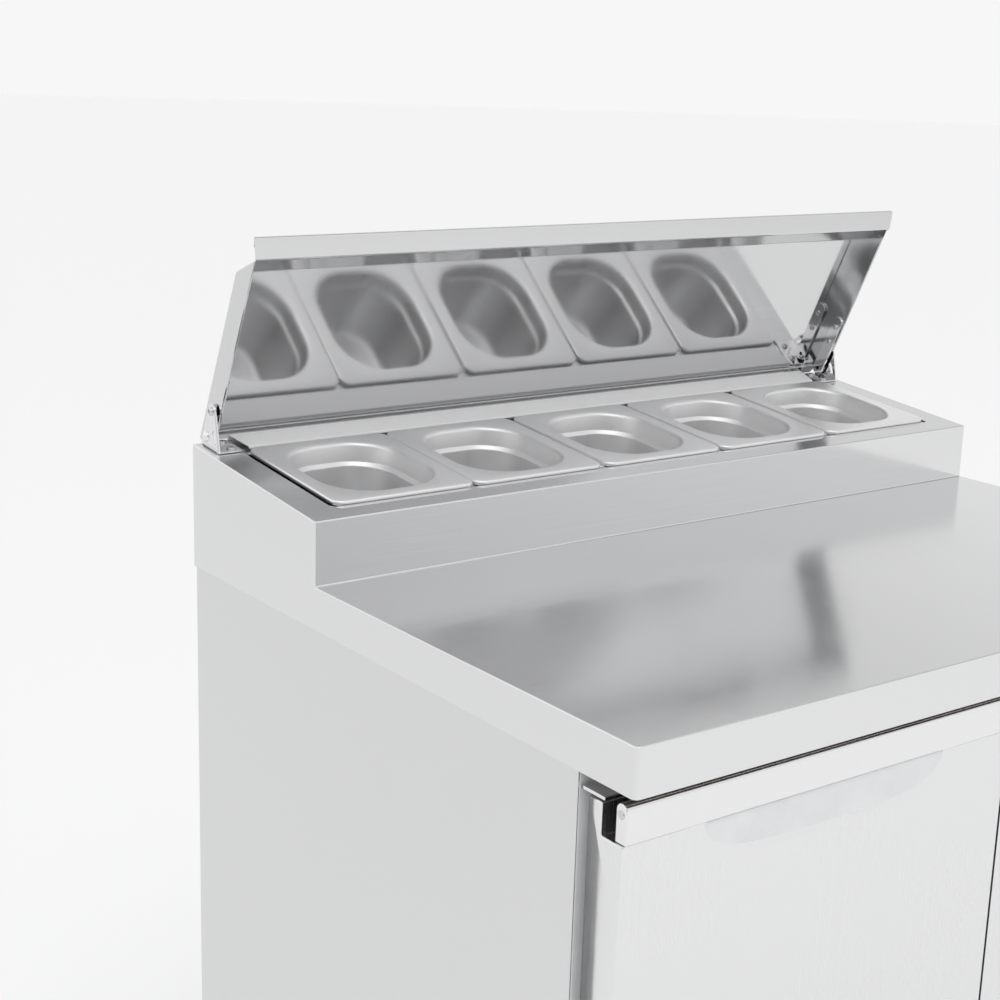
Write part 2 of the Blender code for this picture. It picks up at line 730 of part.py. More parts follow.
def door_frame():
    """The face frame that the door gaskets close on: header, sill, jambs and mullion."""
    inside = SIDE_X - PANEL_SHEET - GAP
    board_low = WORKTOP_HEIGHT - 0.5 * BOARD_THICKNESS
    low = (-inside, SIDE_FRONT, MACHINE_TOP + 2 * MM)
    high = (inside, SIDE_FRONT + FRAME_DEPTH, board_low - GAP - TOP_SHEET)
    frame = make_part("door_frame", box_mesh(low, high), LINER)
    for side in (-1, 1):
        near, far = side * MULLION / 2, side * (inside - FRAME_JAMB)
        opening = box_mesh(
            (min(near, far), SIDE_FRONT - 0.01, low[2] + FRAME_SILL),
            (max(near, far), SIDE_FRONT + FRAME_DEPTH + 0.01, WORKTOP_HEIGHT - FRAME_HEADER),
        )
        cut(frame, make_cutter(opening))
    rear_board = box_mesh(
        (-1, SIDE_FRONT - GAP - 2 * MM, WORKTOP_HEIGHT - BOARD_THICKNESS - 2 * TOP_SHEET),
        (1, 1, 1),
    )
    cut(frame, make_cutter(rear_board))


# Shelves


def shelf_bars():
    low, high = cavity_box()
    for name, y in (("front", -200 * MM), ("rear", 190 * MM)):
        bar = box_mesh(
            (low.x + GAP, y, SHELF_Z - SHELF_BAR - GAP),
            (high.x - GAP, y + SHELF_BAR, SHELF_Z - GAP),
        )
        bevel(make_part(f"shelf_bar_{name}", bar, CHROME), 1.5 * MM, 1)


def shelves():
    """Two wire shelves side by side, as slotted grids."""
    low, high = cavity_box()
    half_gap, edge, front, back = 4 * MM, 6 * MM, low.y + 18 * MM, 222 * MM
    width = high.x - edge - half_gap
    depth = back - front
    border, cross = 8 * MM, 8 * MM
    pitch = (width - border) / SHELF_SLOTS
    for side, name in ((-1, "left"), (1, "right")):
        centre = (side * (half_gap + width / 2), (front + back) / 2, SHELF_Z)
        slab = box_mesh((-width / 2, -depth / 2, 0), (width / 2, depth / 2, SHELF_THICKNESS))
        shelf = make_part(f"shelf_{name}", slab, CHROME, centre)
        for row in (-1, 1):
            start, stop = row * cross / 2, row * (depth / 2 - border)
            slot = box_mesh(
                (-width / 2 + border, min(start, stop), -0.01),
                (-width / 2 + pitch, max(start, stop), 0.02),
            )
            cutter = make_cutter(slot, centre)
            rows = cutter.modifiers.new("slots", "ARRAY")
            rows.count = SHELF_SLOTS
            rows.use_relative_offset = False
            rows.use_constant_offset = True
            rows.constant_offset_displace = (pitch, 0, 0)
            cut(shelf, cutter)


# Doors


def door_outline(inset=0.0):
    """The door's section, (y, z): a full-thickness body below, and a thinner shoulder behind
    the finger channel at the top."""
    back, front = DOOR_BACK, DOOR_BACK - DOOR_THICKNESS + inset
    return [
        (back, DOOR_BOTTOM + inset),
        (back, DOOR_TOP - inset),
        (back - DOOR_SHOULDER + inset, DOOR_TOP - inset),
        (back - DOOR_SHOULDER + inset, DOOR_FRONT_TOP - inset),
        (front, DOOR_FRONT_TOP - inset),
        (front, DOOR_BOTTOM + inset),
    ]


def door(side, name):
    pin_y = DOOR_BACK - HINGE_BACKSET
    hinge = make_empty(f"door_{name}_hinge", (side * HINGE_X, pin_y, 0))
    outer = side * (DOOR_SIDE - HINGE_X)
    inner = side * (DOOR_MEETING_GAP / 2 - HINGE_X)
    low_x, high_x = min(outer, inner), max(outer, inner)
    to_hinge = (0, -pin_y, 0)

    mesh = moved(prism_mesh(door_outline(), low_x, high_x, "X"), to_hinge)
    bm = bmesh.new()
    bm.from_mesh(mesh)
    bm.normal_update()
    bmesh.ops.delete(bm, geom=[f for f in bm.faces if f.normal.y > 0.9], context="FACES")
    bm.to_mesh(mesh)
    bm.free()
    skin = make_part(f"door_{name}_skin", mesh, STEEL, parent=hinge)
    solidify(skin, DOOR_SHEET)

    inset = DOOR_SHEET + GAP
    core_mesh = prism_mesh(door_outline(inset), low_x + inset, high_x - inset, "X")
    core = make_part(f"door_{name}_core", moved(core_mesh, to_hinge), LINER, parent=hinge)

    for z in (DOOR_TOP, DOOR_BOTTOM):
        hole = cylinder_mesh(HINGE_PIN_R + 0.1 * MM, z - 14 * MM, z + 14 * MM, "Z")
        cutter = make_cutter(hole, parent=hinge)
        cut(skin, cutter)
        cut(core, cutter)

    far_x = -side * (HINGE_X - MULLION / 2 - GASKET_EDGE)
    gasket_low = DOOR_BOTTOM + GASKET_EDGE
    gasket_high = DOOR_TOP - GASKET_EDGE
    face = DOOR_BACK + GAP - pin_y
    reach = SIDE_FRONT - GAP - pin_y
    seal = make_part(
        f"door_{name}_gasket",
        box_mesh((min(0, far_x), face, gasket_low), (max(0, far_x), reach, gasket_high)),
        RUBBER,
        parent=hinge,
    )
    hollow = box_mesh(
        (min(0, far_x) + GASKET_WIDTH, face - 0.01, gasket_low + GASKET_WIDTH),
        (max(0, far_x) - GASKET_WIDTH, reach + 0.01, gasket_high - GASKET_WIDTH),
    )
    cut(seal, make_cutter(hollow, parent=hinge))

    door_pull(name, hinge, low_x + 2 * MM, high_x - 2 * MM, pin_y)


def door_pull(name, hinge, low_x, high_x, pin_y):
    """The bar along the door's top, with a round upper edge and a finger channel behind it."""
    front = DOOR_BACK - DOOR_THICKNESS - 1.5 * MM - pin_y
    back = front + PULL_THICKNESS
    radius = PULL_THICKNESS / 2
    outline = [(front, DOOR_FRONT_TOP + GAP), (back, DOOR_FRONT_TOP + GAP)]
    for step in range(7):
        angle = math.pi * step / 6
        y = (front + back) / 2 + radius * math.cos(angle)
        z = PULL_TOP - radius + radius * math.sin(angle)
        outline.append((y, z))
    mesh = prism_mesh(outline, low_x, high_x, "X")
    make_part(f"door_{name}_pull", mesh, STEEL, parent=hinge)


def door_brackets(side, name):
    """Plates on the face frame with the pins that the door turns on."""
    pin_y = DOOR_BACK - HINGE_BACKSET
    x_low, x_high = sorted((side * (DOOR_SIDE - 1 * MM), side * (HINGE_X - 18 * MM)))
    frame_face = SIDE_FRONT - GAP
    places = {
        "upper": (DOOR_TOP + 1.5 * MM, DOOR_TOP - 11 * MM),
        "lower": (DOOR_BOTTOM - 1.5 * MM - BRACKET_SHEET, DOOR_BOTTOM + 11 * MM),
    }
    for level, (plate_z, pin_end) in places.items():
        plate = box_mesh(
            (x_low, pin_y - 9 * MM, plate_z), (x_high, frame_face, plate_z + BRACKET_SHEET)
        )
        bracket = make_part(f"door_{name}_bracket_{level}", plate, CHROME)
        middle = plate_z + BRACKET_SHEET / 2
        pin = cylinder_mesh(HINGE_PIN_R, min(middle, pin_end), max(middle, pin_end), "Z")
        join(bracket, make_cutter(pin, (side * HINGE_X, pin_y, 0)))


# Machine compartment


def front_grille():
    """The folded front cover below the doors, with two banks of louvre slots and two
    cut-outs for the controls."""
    low = (-DOOR_SIDE, GRILLE_FRONT, FOOT_HEIGHT + 2 * MM)
    high = (DOOR_SIDE, SIDE_FRONT - 1 * MM, MACHINE_TOP)
    cover = make_part("front_grille", open_box_mesh(low, high, [(0, 1, 0)]), STEEL)
    solidify(cover, GRILLE_SHEET)
    length, height = LOUVRE_SLOT
    for centre in LOUVRE_X:
        slot = box_mesh((-length / 2, -0.02, 0), (length / 2, 0.02, height))
        cutter = make_cutter(slot, (centre, GRILLE_FRONT, LOUVRE_Z))
        rows = cutter.modifiers.new("louvres", "ARRAY")
        rows.count = LOUVRES
        rows.use_relative_offset = False
        rows.use_constant_offset = True
        rows.constant_offset_displace = (0, 0, LOUVRE_PITCH)
        cut(cover, cutter)
    for centre, half_x, half_z in (CONTROLLER, SWITCH):
        hole = box_mesh((-half_x, -0.02, -half_z), (half_x, 0.02, half_z))
        cut(cover, make_cutter(hole, (centre, GRILLE_FRONT, CONTROL_Z)))


def bezel_mesh(half_x, half_z, margin, height):
    """The frame in front of a cut-out, wider than it all round."""
    low = (-half_x - margin, -height, -half_z - margin)
    high = (half_x + margin, -GAP, half_z + margin)
    return box_mesh(low, high)


def controller():
    """The thermostat: a bezel in the cover, a body behind it, and two push buttons."""
    x, half_x, half_z = CONTROLLER
    place = (x, GRILLE_FRONT, CONTROL_Z)
    body = box_mesh(
        (-half_x + GAP, -1 * MM, -half_z + GAP), (half_x - GAP, 28 * MM, half_z - GAP)
    )
    unit = make_part("controller", body, PLASTIC, place)
    bezel = bezel_mesh(half_x, half_z, 3 * MM, 4 * MM)
    join(unit, make_cutter(bezel, place))
    for name, offset in BUTTONS.items():
        pocket = cylinder_mesh(BUTTON_POCKET_R, -10 * MM, 4 * MM, "Y", 16)
        cut(unit, make_cutter(pocket, (x + offset, GRILLE_FRONT, CONTROL_Z)))
        cap = cylinder_mesh(BUTTON_R, 0, 7 * MM, "Y", 16)
        where = (x + offset, GRILLE_FRONT - 5 * MM, CONTROL_Z)
        make_part(f"button_{name}", cap, ALUMINIUM, where)


def power_switch():
    """A rocker switch: a frame snapped into the cover and a rocker on a level axis."""
    x, half_x, half_z = SWITCH
    place = (x, GRILLE_FRONT, CONTROL_Z)
    body = box_mesh(
        (-half_x + GAP, -1 * MM, -half_z + GAP), (half_x - GAP, 20 * MM, half_z - GAP)
    )
    housing = make_part("switch_housing", body, PLASTIC, place)
    bezel = bezel_mesh(half_x, half_z, 2 * MM, 3 * MM)
    join(housing, make_cutter(bezel, place))
    pocket = box_mesh(
        (-half_x + 3 * MM, -0.01, -half_z + 2 * MM), (half_x - 3 * MM, 12 * MM, half_z - 2 * MM)
    )
    cut(housing, make_cutter(pocket, place))
    reach = half_z - 3.2 * MM
    outline = [
        (0, -reach),
        (5 * MM, -4 * MM),
        (5 * MM, 4 * MM),
        (0, reach),
        (-4.5 * MM, reach),
        (-2.2 * MM, 0),
        (-4.5 * MM, -reach),
    ]
    rocker = prism_mesh(outline, -half_x + 3.5 * MM, half_x - 3.5 * MM, "X")
    make_part("switch_rocker", rocker, SWITCH_GREEN, place)


def compressor():
    """A hermetic compressor: a domed can on a foot plate."""
    radius, height = COMPRESSOR_R, COMPRESSOR_HEIGHT
    profile = [(0, height)]
    for step in range(1, 6):
        angle = math.pi / 2 * (1 - step / 5)
        profile.append((radius * math.cos(angle), height - 34 * MM + 34 * MM * math.sin(angle)))
    profile += [(radius, 30 * MM), (radius - 14 * MM, 8 * MM), (0, 8 * MM)]
    place = (190 * MM, 190 * MM, FOOT_HEIGHT + 1.5 * MM + GAP)
    can = make_part("compressor", turned_mesh(profile, 24), COMPRESSOR_PAINT, place)
    plate = box_mesh((-85 * MM, -50 * MM, 0), (85 * MM, 50 * MM, 12 * MM))
    join(can, make_cutter(plate, place))


def condenser():
    """The condenser coil, with the shroud, motor and fan behind it."""
    x, y, z = CONDENSER
    half = CONDENSER_HALF
    coil = box_mesh((-half, 0, -66 * MM), (half, CONDENSER_DEPTH, 66 * MM))
    bevel(make_part("condenser_coil", coil, ALUMINIUM, CONDENSER), 3 * MM, 1)
    ring_y = y + CONDENSER_DEPTH + 2 * MM
    shroud_mesh = box_mesh((-half, 0, -68 * MM), (half, 40 * MM, 68 * MM))
    place = (x, ring_y, z)
    shroud = make_part("condenser_shroud", shroud_mesh, STEEL, place)
    throat = cylinder_mesh(CONDENSER_THROAT_R, -0.02, 0.08, "Y", 32)
    cut(shroud, make_cutter(throat, place))
    for turn in range(2):
        strut = box_mesh((-70 * MM, 30 * MM, -4 * MM), (70 * MM, 34 * MM, 4 * MM))
        if turn:
            strut.transform(Matrix.Rotation(math.pi / 2, 4, "Y"))
        join(shroud, make_cutter(strut, place))
    motor = cylinder_mesh(24 * MM, 28 * MM, 66 * MM, "Y", 20)
    join(shroud, make_cutter(motor, place))
    fan("condenser_fan", (x, ring_y + 14 * MM, z), CONDENSER_FAN_R, 20 * MM, PLASTIC)


def fan(name, place, radius, hub_radius, look):
    """An axial fan about Y: a hub with pitched blades."""
    rotor = make_part(name, cylinder_mesh(hub_radius, -8 * MM, 8 * MM, "Y", 20), look, place)
    for i in range(FAN_BLADES):
        blade = box_mesh(
            (hub_radius - 3 * MM, -0.8 * MM, -14 * MM), (radius, 0.8 * MM, 14 * MM)
        )
        blade.transform(Matrix.Rotation(math.radians(24), 4, "X"))
        blade.transform(Matrix.Rotation(2 * math.pi * i / FAN_BLADES, 4, "Y"))
        join(rotor, make_cutter(blade, place))


def evaporator():
    """The cooling unit on the liner's back wall: cover, coil and fan."""
    low, high = cavity_box()
    back = high.y - GAP
    top = high.z - 20 * MM
    bottom = top - EVAPORATOR_HEIGHT
    half, face = EVAPORATOR_HALF, back - EVAPORATOR_DEPTH
    shell = open_box_mesh((-half, face, bottom), (half, back, top), [(0, 1, 0)])
    cover = make_part("evaporator_cover", shell, LINER)
    solidify(cover, LINER_SHEET)
    middle = (bottom + top) / 2
    throat = cylinder_mesh(EVAPORATOR_THROAT_R, -0.02, 0.02, "Y", 32)
    cut(cover, make_cutter(throat, (0, face, middle)))
    for i in range(5):
        slot = box_mesh((-60 * MM, -0.012, -2 * MM), (60 * MM, 0.012, 2 * MM))
        cut(cover, make_cutter(slot, (0, back - 14 * MM - i * 9 * MM, bottom)))
    coil_low = (-140 * MM, back - 28 * MM, bottom + 16 * MM)
    coil_high = (140 * MM, back - GAP, top - 16 * MM)
    coil = make_part("evaporator_coil", box_mesh(coil_low, coil_high), ALUMINIUM)
    motor = cylinder_mesh(16 * MM, -12 * MM, 4 * MM, "Y", 16)
    join(coil, make_cutter(motor, (0, back - 30 * MM, middle)))
    fan("evaporator_fan", (0, back - 52 * MM, middle), EVAPORATOR_FAN_R, 16 * MM, PLASTIC)


def condensate_tray():
    tray = open_box_mesh((-85 * MM, -50 * MM, 0), (85 * MM, 50 * MM, 30 * MM), [(0, 0, 1)])
    place = (-250 * MM, 200 * MM, FOOT_HEIGHT + 2.5 * MM + GAP)
    solidify(make_part("condensate_tray", tray, PLASTIC, place), 1.5 * MM)


# Feet


def feet():
    """Adjustable feet: a threaded stem, a hexagon and a round pad on the floor."""
    profile = [
        (0, FOOT_HEIGHT - GAP),
        (16 * MM, FOOT_HEIGHT - GAP),
        (16 * MM, 42 * MM),
        (12 * MM, 38 * MM),
        (12 * MM, 22 * MM),
        (19 * MM, 16 * MM),
        (22 * MM, 8 * MM),
        (22 * MM, 0),
        (0, 0),
    ]
    front_y, back_y = SIDE_FRONT + FOOT_SETBACK, BACK_Y - FOOT_SETBACK
    for name, x, y in (
        ("front_left", -1, front_y),
        ("front_right", 1, front_y),
        ("rear_left", -1, back_y),
        ("rear_right", 1, back_y),
    ):
        place = (x * (WIDTH / 2 - FOOT_INSET), y, 0)
        make_part(f"foot_{name}", turned_mesh(profile), CHROME, place)


clear_scene()
PARTS = make_collection("sandwich_prep_table")
CUTTERS = make_collection("cutters")
rail_frame = make_empty("rail_frame", (0, Y_RISER, WORKTOP_HEIGHT + RISER), RAIL_SLOPE)
lid_pivot = make_empty("lid_pivot", (0, PIVOT_Y, PIVOT_Z), -LID_OPEN)

worktop(rail_frame)
worktop_board()
rear_strip(rail_frame)
pan_ledge(rail_frame)
pan_dividers(rail_frame)
pans(rail_frame)
lid(lid_pivot)
lid_arms(lid_pivot)
hinge_brackets(rail_frame)
side_panels()
back_panel()
cord_gland()
base_tray()
insulation()
liner()
door_frame()
shelf_bars()
shelves()
for door_side, door_name in ((-1, "left"), (1, "right")):
    door(door_side, door_name)
    door_brackets(door_side, door_name)
front_grille()
controller()
power_switch()
compressor()
condenser()
evaporator()
condensate_tray()
feet()
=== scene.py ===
"""Looks for the sandwich prep table: detailed sheet metal, pans, hinges, doors and machinery around
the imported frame, in metres, +Z up, with the front facing -Y."""

import json
import math

import bmesh
import bpy
from mathutils import Matrix, Vector

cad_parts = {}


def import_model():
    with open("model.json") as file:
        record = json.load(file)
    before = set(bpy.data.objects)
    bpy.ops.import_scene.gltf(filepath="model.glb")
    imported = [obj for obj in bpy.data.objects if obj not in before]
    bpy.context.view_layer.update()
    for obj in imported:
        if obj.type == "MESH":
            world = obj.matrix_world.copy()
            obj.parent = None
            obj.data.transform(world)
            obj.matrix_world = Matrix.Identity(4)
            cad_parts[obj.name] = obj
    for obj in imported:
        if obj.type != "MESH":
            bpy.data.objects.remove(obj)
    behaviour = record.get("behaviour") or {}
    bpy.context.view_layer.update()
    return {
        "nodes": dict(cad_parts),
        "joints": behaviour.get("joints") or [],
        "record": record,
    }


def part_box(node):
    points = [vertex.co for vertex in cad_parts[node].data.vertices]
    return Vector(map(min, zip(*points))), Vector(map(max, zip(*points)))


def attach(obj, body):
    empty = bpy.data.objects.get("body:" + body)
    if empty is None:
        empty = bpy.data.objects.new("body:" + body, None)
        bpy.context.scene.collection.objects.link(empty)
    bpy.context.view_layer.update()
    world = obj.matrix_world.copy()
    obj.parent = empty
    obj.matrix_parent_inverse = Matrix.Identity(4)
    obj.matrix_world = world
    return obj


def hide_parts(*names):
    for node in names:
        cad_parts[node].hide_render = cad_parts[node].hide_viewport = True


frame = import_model()

MM = 0.001
JOINTS = {joint["name"]: joint for joint in frame["joints"]}
MOUNTS = {mount["name"]: mount for mount in frame["record"]["mounts"]}

# Worktop and rail: the design's driving sizes, placed from the frame
WORKTOP_LOW, WORKTOP_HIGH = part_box("worktop")
WORKTOP_Z = MOUNTS["worktop_surface"]["pos_m"][2]
WORKTOP_DEPTH = 456 * MM
RISER = 62 * MM
TOP_SHEET = 1.5 * MM
Y_RISER = WORKTOP_LOW.y + WORKTOP_DEPTH
RAIL_NORMAL = Vector(JOINTS["pan_1_lift"]["axis"])
RAIL_SLOPE = math.atan2(-RAIL_NORMAL.y, RAIL_NORMAL.z)
RAIL = Matrix.Translation((0, Y_RISER, WORKTOP_Z + RISER)) @ Matrix.Rotation(RAIL_SLOPE, 4, "X")
OPENING_HALF = 415 * MM
OPENING_FRONT = 28.5 * MM
OPENING_BACK = 209 * MM
BEND = 1.2 * MM
CORNER = 5.0 * MM

# Pans
PAN_HALF_X = 81 * MM
PAN_HALF_Y = 88 * MM
PAN_FRONT = 30 * MM
PAN_SEAT = 3.5 * MM
PAN_SHEET = 0.8 * MM
PAN_LIP_RADIUS = 12
PAN_WELL_RADIUS = 68
PAN_CORNER_STEPS = 16

# Lid: s runs forward along the panel from the pivot, t away from it
LID_OPEN = math.radians(65.8)
LID_PIVOT = Vector(JOINTS["lid_hinge"]["pos_m"])
LID = Matrix.Translation(LID_PIVOT) @ Matrix.Rotation(-LID_OPEN, 4, "X")
LID_HALF = 437.6 * MM
LID_SHEET = 1.2 * MM
LID_TOP = 18.2 * MM
LID_REAR = -15 * MM
LID_PANEL = 196 * MM
LID_NOSE = 42 * MM
LID_NOSE_ANGLE = math.radians(-44.6)
LID_LIP = 21 * MM
LID_LIP_ANGLE = math.radians(20.7)
CHEEK_DEPTH = 28 * MM

# Doors
DOOR_SHOULDER = 15 * MM
DOOR_FRONT_TOP = 765 * MM
SCOOP_HALF = 170 * MM
SCOOP_DEPTH = 6 * MM
SCOOP_HEIGHT = 46 * MM

# Camera
CAMERA_PLACE = Vector((-1.2484, -1.2536, 1.3354))
CAMERA_YAW = 0.639036
CAMERA_PITCH = 0.248710
CAMERA_ROLL = 0.0311221
CAMERA_LENS = 64.14


# Materials


def add_node(tree, kind, **values):
    node = tree.nodes.new(kind)
    for name, value in values.items():
        setattr(node, name, value)
    return node


def start_material(name):
    material = bpy.data.materials.new(name)
    material.use_nodes = True
    tree = material.node_tree
    return material, tree, tree.nodes["Principled BSDF"]


def stretched_noise(tree, scale, noise_scale=1.0, detail=3.0):
    """Noise in the piece's own coordinates, stretched by a scale for each axis."""
    coords = add_node(tree, "ShaderNodeTexCoord")
    mapping = add_node(tree, "ShaderNodeMapping")
    mapping.inputs["Scale"].default_value = scale
    noise = add_node(tree, "ShaderNodeTexNoise")
    noise.inputs["Scale"].default_value = noise_scale
    noise.inputs["Detail"].default_value = detail
    tree.links.new(coords.outputs["Object"], mapping.inputs["Vector"])
    tree.links.new(mapping.outputs["Vector"], noise.inputs["Vector"])
    return noise.outputs["Fac"]


def map_range(tree, value, low, high, from_low=0.3, from_high=0.7):
    node = add_node(tree, "ShaderNodeMapRange")
    node.inputs["From Min"].default_value = from_low
    node.inputs["From Max"].default_value = from_high
    node.inputs["To Min"].default_value = low
    node.inputs["To Max"].default_value = high
    tree.links.new(value, node.inputs["Value"])
    return node.outputs["Result"]


def add(tree, first, second):
    node = add_node(tree, "ShaderNodeMath", operation="ADD")
    tree.links.new(first, node.inputs[0])
    tree.links.new(second, node.inputs[1])
    return node.outputs["Value"]


def blend_colours(tree, factor, first, second):
    node = add_node(tree, "ShaderNodeMix", data_type="RGBA")
    node.inputs["A"].default_value = (*first, 1.0)
    node.inputs["B"].default_value = (*second, 1.0)
    tree.links.new(factor, node.inputs["Factor"])
    return node.outputs["Result"]


def bump(tree, shader, height, strength, distance):
    node = add_node(tree, "ShaderNodeBump")
    node.inputs["Strength"].default_value = strength
    node.inputs["Distance"].default_value = distance
    tree.links.new(height, node.inputs["Height"])
    tree.links.new(node.outputs["Normal"], shader.inputs["Normal"])


def edge_polish(tree, roughness, amount):
    """Edges handled and wiped more often are a little brighter and smoother."""
    geometry = add_node(tree, "ShaderNodeNewGeometry")
    worn = map_range(tree, geometry.outputs["Pointiness"], 0.0, -amount, 0.52, 0.62)
    return add(tree, roughness, worn)


def shade(colour, factor):
    return tuple(min(1.0, c * factor) for c in colour)


GRAIN = {"X": (8.0, 1600.0, 1600.0), "Y": (1600.0, 8.0, 1600.0), "Z": (1600.0, 1600.0, 8.0)}


def brushed_steel(name, colour, roughness, grain_axis="X", grain=0.06, contrast=0.025, fine=1.0):
    """Brushed sheet: fine streaks along the grain, soft smudges and polished edges."""
    material, tree, shader = start_material(name)
    streaks = stretched_noise(tree, tuple(v * fine for v in GRAIN[grain_axis]), detail=2.0)
    smudges = stretched_noise(tree, (1.0, 1.0, 1.0), 7.0, 4.0)
    rough = add(
        tree,
        map_range(tree, streaks, roughness - grain / 2, roughness + grain / 2),
        map_range(tree, smudges, -0.02, 0.03),
    )
    tree.links.new(edge_polish(tree, rough, 0.06), shader.inputs["Roughness"])
    tone = blend_colours(tree, streaks, shade(colour, 1 - contrast), shade(colour, 1 + contrast))
    tree.links.new(tone, shader.inputs["Base Color"])
    shader.inputs["Metallic"].default_value = 1.0
    bump(tree, shader, streaks, 0.05, 0.00002)
    return material


def polished_metal(name, colour, roughness, scratches=0.05):
    material, tree, shader = start_material(name)
    marks = stretched_noise(tree, (60.0, 60.0, 500.0), detail=4.0)
    haze = stretched_noise(tree, (1.0, 1.0, 1.0), 45.0, 5.0)
    rough = add(
        tree, map_range(tree, marks, roughness, roughness + scratches), map_range(tree, haze, 0, 0.04)
    )
    tree.links.new(edge_polish(tree, rough, 0.04), shader.inputs["Roughness"])
    tone = blend_colours(tree, haze, shade(colour, 0.95), shade(colour, 1.03))
    tree.links.new(tone, shader.inputs["Base Color"])
    shader.inputs["Metallic"].default_value = 1.0
    bump(tree, shader, marks, 0.05, 0.00003)
    return material


def satin_trim(name, colour):
    """A blasted, nearly white metal trim."""
    material, tree, shader = start_material(name)
    fine = stretched_noise(tree, (40.0, 900.0, 900.0), detail=3.0)
    rough = add(
        tree,
        map_range(tree, fine, 0.46, 0.54),
        map_range(tree, stretched_noise(tree, (1.0, 1.0, 1.0), 18.0, 3.0), -0.03, 0.03),
    )
    tree.links.new(edge_polish(tree, rough, 0.06), shader.inputs["Roughness"])
    tone = blend_colours(tree, fine, shade(colour, 0.98), shade(colour, 1.02))
    tree.links.new(tone, shader.inputs["Base Color"])
    shader.inputs["Metallic"].default_value = 0.0
    bump(tree, shader, fine, 0.05, 0.00003)
    return material


def moulded(name, colour, roughness, texture=0.0001, coat=0.0):
    """Moulded plastic, rubber, foam or paint: a fine texture with dust-like variation."""
    material, tree, shader = start_material(name)
    fine = stretched_noise(tree, (1.0, 1.0, 1.0), 1400.0, 2.0)
    broad = stretched_noise(tree, (1.0, 1.0, 1.0), 22.0, 5.0)
    rough = add(
        tree,
        map_range(tree, fine, roughness - 0.05, roughness + 0.05),
        map_range(tree, broad, -0.04, 0.05),
    )
    tree.links.new(edge_polish(tree, rough, 0.1), shader.inputs["Roughness"])
    tone = blend_colours(tree, broad, shade(colour, 0.9), shade(colour, 1.08))
    tree.links.new(tone, shader.inputs["Base Color"])
    shader.inputs["Metallic"].default_value = 0.0
    shader.inputs["Coat Weight"].default_value = coat
    bump(tree, shader, fine, 0.25, texture)
    return material


def plywood(name):
    material, tree, shader = start_material(name)
    rings = stretched_noise(tree, (3.0, 60.0, 260.0), detail=6.0)
    tone = blend_colours(tree, rings, (0.10, 0.065, 0.04), (0.22, 0.15, 0.10))
    tree.links.new(tone, shader.inputs["Base Color"])
    tree.links.new(map_range(tree, rings, 0.55, 0.8), shader.inputs["Roughness"])
    bump(tree, shader, rings, 0.3, 0.0003)
    return material


STEEL = (0.77, 0.772, 0.778)
MATERIALS = {
    "worktop": brushed_steel("worktop_brushed", (0.74, 0.742, 0.748), 0.14, "X"),
    # The cabinet steel's colour is darker than the door steel's: painted shade, so the side panels,
    # grille and pan ledge read darker than the worktop above them
    "cabinet": brushed_steel("cabinet_steel_painted_shade", (0.69, 0.692, 0.698), 0.24, "Z"),
    "door": brushed_steel("door_brushed", STEEL, 0.24, "Z"),
    # The pull bar's steel is lighter than the door steel: a painted highlight, so the bar reads as
    # catching the bright front
    "bar": brushed_steel("bar_steel_painted_highlight", (0.80, 0.80, 0.805), 0.20, "X"),
    "lid": brushed_steel("lid_bright", (0.67, 0.672, 0.678), 0.125, "X", grain=0.035),
    "pan": brushed_steel("pan_drawn", (0.86, 0.86, 0.865), 0.42, "Z", 0.03, 0.012, 2.5),
    "back": brushed_steel("back_mill", (0.52, 0.53, 0.54), 0.40, "Z", grain=0.12),
    "strip": satin_trim("strip_satin", (0.93, 0.93, 0.935)),
    "chrome": polished_metal("hinge_chrome", (0.78, 0.78, 0.79), 0.07),
    "screw": polished_metal("screw_steel", (0.62, 0.62, 0.63), 0.18),
    "wire": polished_metal("wire_chrome", (0.74, 0.75, 0.76), 0.16),
    "foot": polished_metal("foot_zinc", (0.62, 0.62, 0.63), 0.24, 0.1),
    "liner": polished_metal("liner_aluminium", (0.80, 0.81, 0.82), 0.34, 0.1),
    "fins": polished_metal("fin_aluminium", (0.74, 0.75, 0.76), 0.32, 0.1),
    "copper": polished_metal("copper_tube", (0.72, 0.38, 0.22), 0.26, 0.12),
    "white": moulded("inner_white", (0.78, 0.79, 0.80), 0.38),
    "rubber": moulded("gasket_rubber", (0.055, 0.055, 0.06), 0.6, 0.0002),
    "black": moulded("black_abs", (0.025, 0.025, 0.028), 0.42),
    "tray": moulded("tray_plastic", (0.07, 0.07, 0.075), 0.55),
    "foam": moulded("foam_cell", (0.72, 0.63, 0.38), 0.9, 0.0009),
    "enamel": moulded("compressor_enamel", (0.012, 0.012, 0.014), 0.3, 0.0002, coat=0.4),
    "green": moulded("rocker_green", (0.02, 0.26, 0.07), 0.25, 0.00005, coat=0.3),
    "key": moulded("key_grey", (0.42, 0.43, 0.44), 0.35, 0.00005),
    "window": moulded("display_window", (0.03, 0.004, 0.004), 0.08, 0.00002, coat=1.0),
    "board": plywood("board_ply"),
}


# Mesh helpers

SHARP_ANGLE = math.radians(32)


def fillet(points, radii, steps=4, closed=False):
    """A polyline's corners rounded with arcs: one radius for each point."""
    count = len(points)
    out = []
    for i, (point, radius) in enumerate(zip(points, radii)):
        corner = Vector(point)
        if radius <= 0 or (not closed and i in (0, count - 1)):
            out.append(tuple(corner))
            continue
        before = (Vector(points[i - 1]) - corner).normalized()
        after = (Vector(points[(i + 1) % count]) - corner).normalized()
        half_angle = before.angle(after) / 2
        reach = radius / math.tan(half_angle)
        start, end = corner + before * reach, corner + after * reach
        middle = corner + (before + after).normalized() * (radius / math.sin(half_angle))
        sweep = math.pi - 2 * half_angle
        for step in range(steps + 1):
            share = step / steps
            a, b = math.sin((1 - share) * sweep), math.sin(share * sweep)
            spoke = ((start - middle) * a + (end - middle) * b) / math.sin(sweep)
            out.append(tuple(middle + spoke))
    return out


